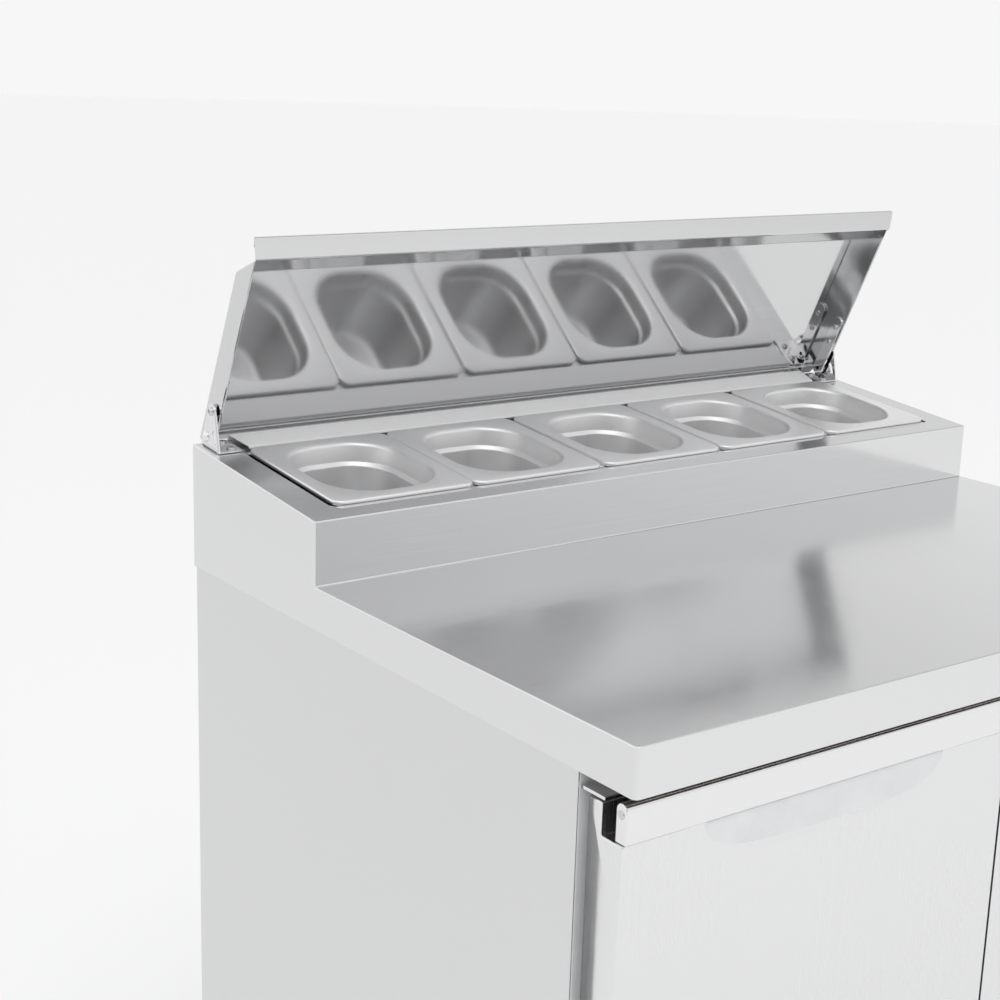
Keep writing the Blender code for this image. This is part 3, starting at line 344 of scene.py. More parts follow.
def both_sides(path, thickness):
    """A closed outline around an open path, half the thickness on each side."""
    left, right = [], []
    for i, point in enumerate(path):
        here = Vector(point)
        before = (here - Vector(path[i - 1])).normalized() if i else None
        after = (Vector(path[i + 1]) - here).normalized() if i + 1 < len(path) else None
        along = ((before or after) + (after or before)).normalized()
        share = along.dot(after or before)
        side = Vector((-along.y, along.x)) * thickness / 2 / max(share, 0.3)
        left.append(tuple(here + side))
        right.append(tuple(here - side))
    return left + right[::-1]


def rounded_rectangle(half_x, half_y, radius, steps=5):
    corners = [(half_x, half_y), (-half_x, half_y), (-half_x, -half_y), (half_x, -half_y)]
    return fillet(corners, [radius] * 4, steps, closed=True)


def prism(outline, low, high, axis="X", place=None):
    """A closed outline extruded along an axis. Its points are (y, z), (x, z) or (x, y)."""
    order = {"X": (1, 2, 0), "Y": (0, 2, 1), "Z": (0, 1, 2)}[axis]
    place = place or Matrix.Identity(4)
    bm = bmesh.new()
    rings = []
    for level in (low, high):
        ring = []
        for a, b in outline:
            point = Vector((0, 0, 0))
            point[order[0]], point[order[1]], point[order[2]] = a, b, level
            ring.append(bm.verts.new(place @ point))
        rings.append(ring)
    count = len(outline)
    for i in range(count):
        j = (i + 1) % count
        bm.faces.new((rings[0][i], rings[0][j], rings[1][j], rings[1][i]))
    bm.faces.new(rings[0])
    bm.faces.new(rings[1][::-1])
    bmesh.ops.recalc_face_normals(bm, faces=bm.faces)
    return bm


def block(low, high):
    outline = [(low[0], low[1]), (high[0], low[1]), (high[0], high[1]), (low[0], high[1])]
    return prism(outline, low[2], high[2], "Z")


def lathe(profile, steps=32, place=None):
    """A profile of (radius, z) turned about Z. Ends on the axis close it."""
    place = place or Matrix.Identity(4)
    bm = bmesh.new()
    rings = []
    for radius, z in profile:
        if radius < 1e-7:
            rings.append([bm.verts.new(place @ Vector((0, 0, z)))])
            continue
        ring = []
        for step in range(steps):
            angle = 2 * math.pi * step / steps
            point = Vector((radius * math.cos(angle), radius * math.sin(angle), z))
            ring.append(bm.verts.new(place @ point))
        rings.append(ring)
    for upper, lower in zip(rings, rings[1:]):
        for i in range(steps):
            j = (i + 1) % steps
            corners = [upper[i % len(upper)], upper[j % len(upper)]]
            corners += [lower[j % len(lower)], lower[i % len(lower)]]
            bm.faces.new(list(dict.fromkeys(corners)))
    bmesh.ops.recalc_face_normals(bm, faces=bm.faces)
    return bm


def loft(rings, cap_start=False, cap_end=True):
    bm = bmesh.new()
    loops = [[bm.verts.new(p) for p in ring] for ring in rings]
    for upper, lower in zip(loops, loops[1:]):
        for i in range(len(upper)):
            j = (i + 1) % len(upper)
            bm.faces.new((upper[i], upper[j], lower[j], lower[i]))
    if cap_start:
        bm.faces.new(loops[0][::-1])
    if cap_end:
        bm.faces.new(loops[-1])
    bmesh.ops.recalc_face_normals(bm, faces=bm.faces)
    return bm


def tube(points, radius, sides=8):
    """A round wire along a polyline, with flat ends."""
    rings = []
    for i, point in enumerate(points):
        here = Vector(point)
        before = Vector(points[max(i - 1, 0)])
        after = Vector(points[min(i + 1, len(points) - 1)])
        along = (after - before).normalized()
        across = along.orthogonal().normalized()
        if abs(along.z) < 0.95:
            across = Vector((0, 0, 1)).cross(along).normalized()
        up = along.cross(across)
        ring = []
        for side in range(sides):
            angle = 2 * math.pi * side / sides
            ring.append(here + (across * math.cos(angle) + up * math.sin(angle)) * radius)
        rings.append(ring)
    return loft(rings, cap_start=True)


def merged(parts):
    """Several meshes as one bmesh; the parts are freed."""
    whole = bmesh.new()
    for part in parts:
        mesh = bpy.data.meshes.new("part")
        part.to_mesh(mesh)
        part.free()
        whole.from_mesh(mesh)
        bpy.data.meshes.remove(mesh)
    return whole


def moved(bm, matrix):
    bmesh.ops.transform(bm, matrix=matrix, verts=bm.verts)
    return bm


def new_object(name, bm):
    mesh = bpy.data.meshes.new(name)
    bm.to_mesh(mesh)
    bm.free()
    mesh.shade_smooth()
    mesh.set_sharp_from_angle(angle=SHARP_ANGLE)
    obj = bpy.data.objects.new(name, mesh)
    bpy.context.scene.collection.objects.link(obj)
    return obj


def round_edges(obj, width, segments=2, angle=50):
    modifier = obj.modifiers.new("edges", "BEVEL")
    modifier.width = width
    modifier.segments = segments
    modifier.limit_method = "ANGLE"
    modifier.angle_limit = math.radians(angle)
    weighted = obj.modifiers.new("normals", "WEIGHTED_NORMAL")
    weighted.keep_sharp = False


def carve(obj, cutters):
    """Cuts meshes out of an object and applies every modifier."""
    helpers = []
    for cutter in cutters:
        helper = new_object("cutter", cutter)
        modifier = obj.modifiers.new("cut", "BOOLEAN")
        modifier.object = helper
        modifier.solver = "EXACT"
        helpers.append(helper)
    graph = bpy.context.evaluated_depsgraph_get()
    mesh = bpy.data.meshes.new_from_object(obj.evaluated_get(graph))
    obj.modifiers.clear()
    obj.data = mesh
    mesh.shade_smooth()
    mesh.set_sharp_from_angle(angle=math.radians(32))
    for helper in helpers:
        bpy.data.objects.remove(helper)


def finish_piece(obj, look, body, replaced=()):
    obj.data.materials.clear()
    obj.data.materials.append(MATERIALS[look])
    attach(obj, body)
    if replaced:
        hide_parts(*replaced)
    return obj


def piece(name, bm, look, body, replaced=(), edge=0.0, segments=2):
    obj = new_object(name, bm)
    if edge:
        round_edges(obj, edge, segments)
    return finish_piece(obj, look, body, replaced)


def keep_node(name, look, edge=0.0):
    """A carried-over node: its own shape, with softened edges and a better material."""
    obj = frame["nodes"][name]
    obj.data.materials.clear()
    obj.data.materials.append(MATERIALS[look])
    if "custom_normal" in obj.data.attributes:
        obj.data.attributes.remove(obj.data.attributes["custom_normal"])
    obj.data.shade_smooth()
    weld = obj.modifiers.new("weld", "WELD")
    weld.merge_threshold = 0.00001
    flat = obj.modifiers.new("flat_faces", "DECIMATE")
    flat.decimate_type = "DISSOLVE"
    flat.angle_limit = math.radians(1)
    if edge:
        round_edges(obj, edge)
    else:
        weighted = obj.modifiers.new("normals", "WEIGHTED_NORMAL")
        weighted.keep_sharp = False


# Screws


def screw_heads(places, radius=4.0 * MM, height=2.4 * MM):
    """Pan heads with a cross recess, at (point, outward direction) places."""
    profile = [(0, height)]
    for step in range(1, 6):
        angle = math.pi / 2 * step / 5
        profile.append((radius * math.sin(angle), height * (0.45 + 0.55 * math.cos(angle))))
    profile += [(radius, 0), (0, 0)]
    template = new_object("screw", lathe(profile, 20))
    arm, width = radius * 0.55, radius * 0.13
    top = (arm, width, 2 * height)
    cross = [block((-arm, -width, height * 0.45), top)]
    cross.append(moved(block((-arm, -width, height * 0.45), top), Matrix.Rotation(math.pi / 2, 4, "Z")))
    carve(template, cross)
    whole = bmesh.new()
    for i, (point, direction) in enumerate(places):
        turn = Vector((0, 0, 1)).rotation_difference(Vector(direction)).to_matrix().to_4x4()
        spin = Matrix.Rotation(0.7 * i + 0.3, 4, "Z")
        copy = template.data.copy()
        copy.transform(Matrix.Translation(point) @ turn @ spin)
        whole.from_mesh(copy)
        bpy.data.meshes.remove(copy)
    bpy.data.objects.remove(template)
    return whole


# Worktop and rail


def worktop_sheet():
    low, high = WORKTOP_LOW, WORKTOP_HIGH
    outline = [
        (low.y, low.z),
        (low.y, WORKTOP_Z),
        (Y_RISER, WORKTOP_Z),
        (Y_RISER, WORKTOP_Z + RISER),
        (high.y, high.z),
        (high.y, low.z),
    ]
    bm = prism(outline, low.x, high.x)
    bm.normal_update()
    open_faces = [f for f in bm.faces if f.normal.z < -0.9]
    bmesh.ops.delete(bm, geom=open_faces, context="FACES")
    corners = [
        e for e in bm.edges
        if len(e.link_faces) == 2 and abs((e.verts[0].co - e.verts[1].co).normalized().z) > 0.9
        and e.verts[0].co.y < low.y + 0.001
    ]
    bmesh.ops.bevel(bm, geom=corners, offset=CORNER, segments=5, profile=0.5, affect="EDGES")
    bends = [
        e for e in bm.edges
        if len(e.link_faces) == 2 and e.calc_face_angle() > math.radians(40)
    ]
    bmesh.ops.bevel(bm, geom=bends, offset=BEND, segments=3, profile=0.5, affect="EDGES")
    top = new_object("worktop_sheet", bm)
    sheet = top.modifiers.new("sheet", "SOLIDIFY")
    sheet.thickness = TOP_SHEET
    sheet.offset = -1.0
    middle_y = (OPENING_FRONT + OPENING_BACK) / 2
    outline = rounded_rectangle(OPENING_HALF, (OPENING_BACK - OPENING_FRONT) / 2, 4 * MM)
    place = RAIL @ Matrix.Translation((0, middle_y, 0))
    carve(top, [prism(outline, -0.03, 0.03, "Z", place)])
    round_edges(top, 0.4 * MM, 2, 60)
    finish_piece(top, "worktop", "cabinet", ["worktop"])


def rear_strip():
    """A folded strip behind the pans, cut back on the slant at both ends."""
    front, back = 211 * MM, 243 * MM
    path = fillet(
        [(front, 0.5 * MM), (front, 2.6 * MM), (back, 6.4 * MM), (back, 0.5 * MM)],
        [0, 1.2 * MM, 1.2 * MM, 0],
    )
    outline = both_sides(path, 1.0 * MM)
    bm = prism(outline, -412 * MM, 412 * MM)
    for vert in bm.verts:
        slant = 8 * MM * (back - vert.co.y) / (back - front)
        vert.co.x -= math.copysign(slant, vert.co.x)
    strip = new_object("rear_strip_sheet", moved(bm, RAIL))
    round_edges(strip, 0.25 * MM)
    finish_piece(strip, "strip", "cabinet", ["rear_strip"])


def pan_rings():
    """The pan's section, lip to floor, as rounded rings. Corners are (inset, height) in mm."""
    corners = [
        (0.9, -5.0),
        (0.0, -4.4),
        (0.0, 0.0),
        (18.0, 0.0),
        (20.2, -20.0),
        (23.2, -23.6),
        (27.5, -100.0),
        (60.0, -100.0),
    ]
    radii = [0, 0.5, 1.8, 4.5, 2.0, 3.0, 9.0, 0]
    rings = []
    for inset, height in fillet(corners, radii, 5):
        radius = PAN_LIP_RADIUS - inset if inset < 4 else max(PAN_WELL_RADIUS - inset, 8)
        half_x = PAN_HALF_X - inset * MM
        half_y = PAN_HALF_Y - inset * MM
        radius = min(radius * MM, half_x - 1 * MM)
        outline = rounded_rectangle(half_x, half_y, radius, PAN_CORNER_STEPS)
        rings.append([(x, y, height * MM) for x, y in outline])
    return rings


def pans():
    for i in range(1, 6):
        node = f"pan_{i}"
        low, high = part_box(node)
        centre_x = (low.x + high.x) / 2
        place = RAIL @ Matrix.Translation((centre_x, PAN_FRONT + PAN_HALF_Y, PAN_SEAT))
        pan = new_object(f"{node}_pressing", moved(loft(pan_rings()), place))
        sheet = pan.modifiers.new("sheet", "SOLIDIFY")
        sheet.thickness = PAN_SHEET
        sheet.offset = 1.0
        finish_piece(pan, "pan", node, [node])


# Lid


def lid_section():
    bend = Vector((LID_REAR + LID_PANEL, LID_TOP))
    nose = bend + LID_NOSE * Vector((math.cos(LID_NOSE_ANGLE), math.sin(LID_NOSE_ANGLE)))
    lip = nose + LID_LIP * Vector((math.cos(LID_LIP_ANGLE), math.sin(LID_LIP_ANGLE)))
    return bend, nose, lip


def lid_local(s, t, x=0.0):
    return Vector((x, -s, t))


def lid_shell():
    """Rear flange, panel, nose, lip and both cheeks as one folded sheet."""
    bend, nose, lip = lid_section()
    cheek_low = LID_TOP - CHEEK_DEPTH
    share = (bend.y - cheek_low) / (bend.y - nose.y)
    cheek_end = bend.lerp(nose, share)
    section = [(LID_REAR, LID_TOP - 7 * MM), (LID_REAR, LID_TOP), tuple(bend)]
    section += [tuple(cheek_end), tuple(nose), tuple(lip)]
    bm = bmesh.new()
    sides = []
    for sign in (-1, 1):
        column = [bm.verts.new(lid_local(s, t, sign * LID_HALF)) for s, t in section]
        column[-1].co.x += sign * 2 * MM
        sides.append(column)
    for i in range(len(section) - 1):
        bm.faces.new((sides[0][i], sides[1][i], sides[1][i + 1], sides[0][i + 1]))
    for sign, column in zip((-1, 1), sides):
        free = [(32 * MM, cheek_low), (20 * MM, 2 * MM)]
        extra = [bm.verts.new(lid_local(s, t, sign * LID_HALF)) for s, t in free]
        bm.faces.new(column[:4] + extra)
    bmesh.ops.recalc_face_normals(bm, faces=bm.faces)
    bm.normal_update()
    panel = max(bm.faces, key=lambda face: face.calc_area())
    if panel.normal.z < 0:
        bmesh.ops.reverse_faces(bm, faces=bm.faces)
    bends = [
        e for e in bm.edges if len(e.link_faces) == 2 and e.calc_face_angle() > math.radians(15)
    ]
    bmesh.ops.bevel(bm, geom=bends, offset=BEND, segments=3, profile=0.5, affect="EDGES")
    shell = new_object("lid_sheet", moved(bm, LID))
    sheet = shell.modifiers.new("sheet", "SOLIDIFY")
    sheet.thickness = LID_SHEET
    sheet.offset = -1.0
    round_edges(shell, 0.3 * MM, 2, 60)
    finish_piece(shell, "lid", "lid", ["lid"])


def lid_hems():
    """The safe edges: the lip and both cheeks are folded back flat on themselves."""
    bend, nose, lip = lid_section()
    cheek_low = LID_TOP - CHEEK_DEPTH
    back = (nose - lip).normalized()
    out = Vector((-back.y, back.x))
    if out.y < 0:
        out = -out
    start = lip + out * 1.0 * MM
    path = [tuple(start - back * 0.8 * MM), tuple(start + back * 9 * MM)]
    outline = [(-s, t) for s, t in both_sides(path, 1.1 * MM)]
    parts = [prism(outline, -LID_HALF - 1.5 * MM, LID_HALF + 1.5 * MM)]
    hem_top = cheek_low + 9 * MM
    front = bend.lerp(nose, (bend.y - hem_top) / (bend.y - nose.y)).x - 3 * MM
    for sign in (-1, 1):
        inner = sign * (LID_HALF - LID_SHEET)
        fold = sign * (LID_HALF - LID_SHEET - 1.1 * MM)
        low = (min(inner, fold), -front, cheek_low)
        high = (max(inner, fold), -34 * MM, hem_top)
        parts.append(block(low, high))
    piece("lid_hems", moved(merged(parts), LID), "lid", "lid", edge=0.35 * MM)


def strap_outline(length, radius):
    outline = []
    for centre, turn in ((length, -math.pi / 2), (0, math.pi / 2)):
        for step in range(13):
            angle = turn + math.pi * step / 12
            outline.append((-(centre + radius * math.cos(angle)), radius * math.sin(angle)))
    return outline


def lid_arms():
    """A strap screwed inside each cheek, on a headed pivot pin."""
    for sign, name in ((-1, "left"), (1, "right")):
        outer = sign * 436.1 * MM
        inner = sign * 433.1 * MM
        strap = prism(strap_outline(68 * MM, 8 * MM), min(outer, inner), max(outer, inner))
        pin_profile = [(0, 0), (3 * MM, 0), (3 * MM, 8.4 * MM), (6 * MM, 8.4 * MM)]
        pin_profile += [(6 * MM, 9.4 * MM), (5 * MM, 10.6 * MM), (2.5 * MM, 11.2 * MM), (0, 11.4 * MM)]
        turn = Vector((0, 0, 1)).rotation_difference(Vector((sign, 0, 0))).to_matrix().to_4x4()
        pin = lathe(pin_profile, 24, Matrix.Translation((inner, 0, 0)) @ turn)
        arm = merged([strap, pin])
        piece(f"lid_strap_{name}", moved(arm, LID), "chrome", "lid",
              [f"lid_arm_{name}"], edge=0.5 * MM)
        heads = screw_heads([((inner, -s * MM, 0), (-sign, 0, 0)) for s in (40, 62)], 3.6 * MM, 2 * MM)
        piece(f"lid_strap_screws_{name}", moved(heads, LID), "screw", "lid")


def hinge_ears():
    """An upright ear on a foot, with the catch screw near its round top and a slot below."""
    for sign, name in ((-1, "left"), (1, "right")):
        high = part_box(f"hinge_bracket_{name}")[1]
        outer, inner = sign * 442 * MM, sign * 439.5 * MM
        foot_rear = RAIL @ Vector((0, 242 * MM, 0.4 * MM))
        foot_front = RAIL @ Vector((0, 204 * MM, 0.4 * MM))
        top_radius = 7.5 * MM
        crown = (LID_PIVOT.y - 11.5 * MM, high.z - top_radius)
        outline = [(foot_front.y, foot_front.z), (foot_rear.y, foot_rear.z)]
        for step in range(15):
            angle = math.radians(20 + 150 * step / 14)
            outline.append(
                (crown[0] + top_radius * math.cos(angle), crown[1] + top_radius * math.sin(angle))
            )
        ear = new_object(f"hinge_ear_{name}", prism(outline, min(outer, inner), max(outer, inner)))
        slot = fillet(
            [(-2 * MM, -7 * MM), (2 * MM, -7 * MM), (2 * MM, 7 * MM), (-2 * MM, 7 * MM)],
            [1.9 * MM] * 4,
            closed=True,
        )
        slot_place = Matrix.Translation((0, crown[0] - 6 * MM, foot_front.z + 15 * MM))
        slot_place = slot_place @ Matrix.Rotation(-0.35, 4, "X")
        hole = [(3.3 * MM * math.cos(a), 3.3 * MM * math.sin(a)) for a in
                (math.tau * k / 20 for k in range(20))]
        carve(ear, [prism(slot, -0.5, 0.5, "X", slot_place),
                    prism(hole, -0.5, 0.5, "X", Matrix.Translation(LID_PIVOT))])
        round_edges(ear, 0.5 * MM, 3)
        finish_piece(ear, "chrome", "cabinet", [f"hinge_bracket_{name}"])
        foot_x = sorted((outer, sign * 414 * MM))
        half_x, half_y = (foot_x[1] - foot_x[0]) / 2, 19 * MM
        foot_place = RAIL @ Matrix.Translation(((foot_x[0] + foot_x[1]) / 2, 223 * MM, 0))
        foot = prism(rounded_rectangle(half_x, half_y, 4 * MM), 0.4 * MM, 2.2 * MM, "Z", foot_place)
        piece(f"hinge_foot_{name}", foot, "chrome", "cabinet", edge=0.5 * MM)
        up = RAIL.to_3x3() @ Vector((0, 0, 1))
        places = [((outer, crown[0], crown[1]), (sign, 0, 0))]
        for y in (212 * MM, 233 * MM):
            places.append((RAIL @ Vector((sign * 424 * MM, y, 2.2 * MM)), up))
        heads = screw_heads(places, 4.4 * MM, 2.4 * MM)
        piece(f"hinge_screws_{name}", heads, "screw", "cabinet")


# Doors


def scoop(x, z, centre):
    """How far the door's face is pressed back at a point, under the pull."""
    across = min(abs(x - centre) / SCOOP_HALF, 1.0)
    down = (DOOR_FRONT_TOP - z) / SCOOP_HEIGHT
    fall = 1 - min(max(down, 0.0), 1.0)
    return SCOOP_DEPTH * (1 - across**3) ** 2 * fall * fall * (3 - 2 * fall)


def door_section(x, centre, low, high):
    """The skin's outline at one x, from the bottom rear corner round to the top rear one."""
    front, back = low.y, high.y
    shoulder = back - DOOR_SHOULDER
    outline = [(back, low.z), (front, low.z)]
    rows = 26
    start = DOOR_FRONT_TOP - 80 * MM
    for row in range(rows + 1):
        z = start + (DOOR_FRONT_TOP - start) * row / rows
        outline.append((front + scoop(x, z, centre), z))
    outline += [(shoulder, DOOR_FRONT_TOP), (shoulder, high.z), (back, high.z)]
    return outline


def door_skin(name):
    low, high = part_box(f"door_{name}_skin")
    centre = (low.x + high.x) / 2
    columns = [low.x]
    count = 56
    start, end = centre - SCOOP_HALF - 4 * MM, centre + SCOOP_HALF + 4 * MM
    columns += [start + (end - start) * i / count for i in range(count + 1)]
    columns.append(high.x)
    bm = bmesh.new()
    lines = []
    for x in columns:
        lines.append([bm.verts.new((x, y, z)) for y, z in door_section(x, centre, low, high)])
    for left, right in zip(lines, lines[1:]):
        for i in range(len(left) - 1):
            bm.faces.new((left[i], left[i + 1], right[i + 1], right[i]))
    bm.faces.new(lines[0])
    bm.faces.new(lines[-1][::-1])
    bmesh.ops.recalc_face_normals(bm, faces=bm.faces)
    bm.normal_update()
    lowest = min(bm.faces, key=lambda face: face.calc_center_median().z)
    if lowest.normal.z > 0:
        bmesh.ops.reverse_faces(bm, faces=bm.faces)
    skin = new_object(f"door_{name}_face", bm)
    round_edges(skin, 1.4 * MM, 3, 55)
    sheet = skin.modifiers.new("sheet", "SOLIDIFY")
    sheet.thickness = 0.8 * MM
    sheet.offset = -1.0
    finish_piece(skin, "door", f"door_{name}", [f"door_{name}_skin"])


def door_pull(name):
    """The bar along the door's top: a flat face rolled over at its upper edge."""
    low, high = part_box(f"door_{name}_pull")
    thickness = high.y - low.y
    outline = [(low.y, low.z), (high.y, low.z), (high.y, high.z), (low.y, high.z)]
    radii = [1 * MM, 1 * MM, thickness * 0.49, thickness * 0.49]
    bm = prism(fillet(outline, radii, 8, closed=True), low.x, high.x)
    # The bar's lighter steel is a painted highlight.
    piece(f"door_{name}_bar", bm, "bar", f"door_{name}", [f"door_{name}_pull"],
          edge=2.2 * MM, segments=4)
    buttons = []
    for x, direction in ((low.x, -1), (high.x, 1)):
        turn = Vector((0, 0, 1)).rotation_difference(Vector((direction, 0, 0))).to_matrix().to_4x4()
        radius = thickness * 0.3
        profile = [(0, 1.1 * MM), (radius * 0.8, 0.9 * MM), (radius, 0.2 * MM)]
        profile += [(radius, -1 * MM), (0, -1 * MM)]
        place = Matrix.Translation((x, (low.y + high.y) / 2, high.z - thickness * 0.75)) @ turn
        buttons.append(lathe(profile, 24, place))
    piece(f"door_{name}_bar_ends", merged(buttons), "screw", f"door_{name}")


def door_gasket(name):
    """A bellows seal: a rectangular ring with two folds in its section."""
    low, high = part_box(f"door_{name}_gasket")
    width = 14 * MM
    rise = high.y - low.y
    section = [(0.0, 0.0), (0.02, 0.35), (0.12, 0.55), (0.05, 0.8), (0.2, 1.0), (0.8, 1.0)]
    section += [(0.95, 0.8), (0.88, 0.55), (0.98, 0.35), (1.0, 0.0)]
    loops = []
    for across, up in section:
        inset, y = across * width, low.y + up * rise
        x0, x1, z0, z1 = low.x + inset, high.x - inset, low.z + inset, high.z - inset
        loops.append([(x0, y, z0), (x1, y, z0), (x1, y, z1), (x0, y, z1)])
    loops.append(loops[0])
    bm = loft(loops, cap_end=False)
    bmesh.ops.remove_doubles(bm, verts=bm.verts, dist=1e-6)
    bmesh.ops.recalc_face_normals(bm, faces=bm.faces)
    piece(f"door_{name}_seal", bm, "rubber", f"door_{name}",
          [f"door_{name}_gasket"], edge=0.6 * MM)


# Front grille and controls


def louvre(centre_x, z, face_y, half):
    """A pressed hood over a slot: it swells from the sheet and opens downwards."""
    rings = []
    for step in range(13):
        x = -half + 2 * half * step / 12
        swell = math.sqrt(max(0.0, 1 - (abs(x) / half) ** 6))
        profile = []
        for k in range(7):
            angle = math.pi / 2 * k / 6
            profile.append(
                (centre_x + x, face_y - 4.2 * MM * swell * math.cos(angle) - 0.1 * MM,
                 z + (1.0 + 7.5 * swell * math.sin(angle)) * MM)
            )
        rings.append(profile)
    bm = bmesh.new()
    lines = [[bm.verts.new(p) for p in ring] for ring in rings]
    for left, right in zip(lines, lines[1:]):
        for i in range(6):
            bm.faces.new((left[i], left[i + 1], right[i + 1], right[i]))
    bmesh.ops.remove_doubles(bm, verts=bm.verts, dist=1e-6)
    bmesh.ops.recalc_face_normals(bm, faces=bm.faces)
    return bm


def grille():
    low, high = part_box("front_grille")
    outline = [(low.y, low.z), (low.y, high.z), (high.y, high.z), (high.y, low.z)]
    bm = prism(outline, low.x, high.x)
    bm.normal_update()
    rear = [f for f in bm.faces if f.normal.y > 0.9]
    bmesh.ops.delete(bm, geom=rear, context="FACES")
    cover = new_object("grille_cover", bm)
    bends = cover.modifiers.new("bends", "BEVEL")
    bends.width = 2 * MM
    bends.segments = 3
    bends.limit_method = "ANGLE"
    sheet = cover.modifiers.new("sheet", "SOLIDIFY")
    sheet.thickness = 1.2 * MM
    cutters, hoods = [], []
    for centre in (-290 * MM, -60 * MM):
        for row in range(8):
            z = 95 * MM + row * 14 * MM
            slot_low = (centre - 88 * MM, low.y - 0.01, z)
            slot_high = (centre + 88 * MM, low.y + 0.01, z + 5 * MM)
            cutters.append(block(slot_low, slot_high))
            hoods.append(louvre(centre, z, low.y, 94 * MM))
    for node in ("controller", "switch_housing"):
        body_low, body_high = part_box(node)
        margin = 3.2 * MM
        cutters.append(
            block((body_low.x + margin, low.y - 0.01, body_low.z + margin),
                  (body_high.x - margin, low.y + 0.01, body_high.z - margin))
        )
    carve(cover, cutters)
    round_edges(cover, 0.3 * MM, 2, 60)
    finish_piece(cover, "cabinet", "cabinet", ["front_grille"])
    hood = piece("grille_louvres", merged(hoods), "cabinet", "cabinet")
    skin = hood.modifiers.new("sheet", "SOLIDIFY")
    skin.thickness = 0.8 * MM
    places = []
    for x in (-436 * MM, 436 * MM):
        for z in (88 * MM, 220 * MM):
            places.append(((x, low.y, z), (0, -1, 0)))
    piece("grille_screws", screw_heads(places), "screw", "cabinet")


def controls():
    low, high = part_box("controller")
    front = low.y
    keep_node("controller", "black", 0.8 * MM)
    outline = rounded_rectangle(20 * MM, 9.5 * MM, 2 * MM)
    window = prism(outline, front - 0.5 * MM, front + 0.6 * MM, "Y",
                   Matrix.Translation((low.x + 27 * MM, 0, (low.z + high.z) / 2)))
    piece("controller_window", window, "window", "cabinet", edge=0.3 * MM)
    for node in ("button_up", "button_down"):
        b_low, b_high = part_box(node)
        radius = (b_high.x - b_low.x) / 2
        centre = ((b_low.x + b_high.x) / 2, b_low.y, (b_low.z + b_high.z) / 2)
        profile = [(0, 0.25 * MM), (radius * 0.55, 0.15 * MM), (radius * 0.85, 0), (radius, 0.6 * MM)]
        profile += [(radius, b_high.y - b_low.y), (0, b_high.y - b_low.y)]
        turn = Matrix.Rotation(-math.pi / 2, 4, "X")
        cap = lathe(profile, 28, Matrix.Translation(centre) @ turn)
        piece(f"{node}_cap", cap, "key", node, [node])
    keep_node("switch_housing", "black", 0.6 * MM)
    keep_node("switch_rocker", "green", 0.5 * MM)


# Shelves, feet and machinery


def shelf_wires(name):
    low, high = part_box(f"shelf_{name}")
    frame_r, wire_r, corner = 3 * MM, 1.5 * MM, 10 * MM
    z = low.z + frame_r
    centre = Matrix.Translation(((low.x + high.x) / 2, (low.y + high.y) / 2, z))
    half_x, half_y = (high.x - low.x) / 2 - frame_r, (high.y - low.y) / 2 - frame_r
    rim = rounded_rectangle(half_x, half_y, corner, 5)
    rings = []
    for i, (x, y) in enumerate(rim):
        before, after = Vector(rim[i - 1]), Vector(rim[(i + 1) % len(rim)])
        along = (after - before).normalized()
        across = Vector((along.y, -along.x))
        ring = []
        for side in range(10):
            angle = 2 * math.pi * side / 10
            shift = across * frame_r * math.cos(angle)
            ring.append((x + shift.x, y + shift.y, frame_r * math.sin(angle)))
        rings.append(ring)
    rings.append(rings[0])
    border = loft(rings, cap_end=False)
    bmesh.ops.remove_doubles(border, verts=border.verts, dist=1e-6)
    parts = [moved(border, centre)]
    wires = 20
    for i in range(1, wires):
        x = low.x + frame_r + 2 * half_x * i / wires
        parts.append(
            tube([(x, low.y + frame_r, z + 1.5 * MM), (x, high.y - frame_r, z + 1.5 * MM)], wire_r)
        )
    for share in (0.25, 0.5, 0.75):
        y = low.y + (high.y - low.y) * share
        ends = [(low.x + frame_r, y, z - 1 * MM), (high.x - frame_r, y, z - 1 * MM)]
        parts.append(tube(ends, 2 * MM))
    piece(f"shelf_{name}_wires", merged(parts), "wire", f"shelf_{name}",
          [f"shelf_{name}"])


def feet():
    for end in ("front", "rear"):
        for side in ("left", "right"):
            node = f"foot_{end}_{side}"
            low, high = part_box(node)
            centre = ((low.x + high.x) / 2, (low.y + high.y) / 2, 0)
            profile = [(0, 69.5), (15.5, 69.5), (16, 69), (16, 44), (14, 41.5), (9.5, 41)]
            for turn in range(9):
                z = 40.5 - turn * 1.9
                profile += [(9.5, z), (8.6, z - 0.95)]
            profile += [(9.5, 22.5), (13, 22), (13.5, 21.5), (17, 17), (20.5, 13)]
            profile += [(22, 8), (22, 1), (21, 0), (0, 0)]
            scaled = [(r * MM, z * MM) for r, z in profile]
            body = lathe(scaled, 40, Matrix.Translation(centre))
            hexagon = [(15.2 * MM * math.cos(math.tau * k / 6), 15.2 * MM * math.sin(math.tau * k / 6))
                       for k in range(6)]
            nut = prism(hexagon, 42 * MM, 50 * MM, "Z", Matrix.Translation(centre))
            bm = merged([body, nut])
            piece(f"{node}_screw", bm, "foot", node, [node])


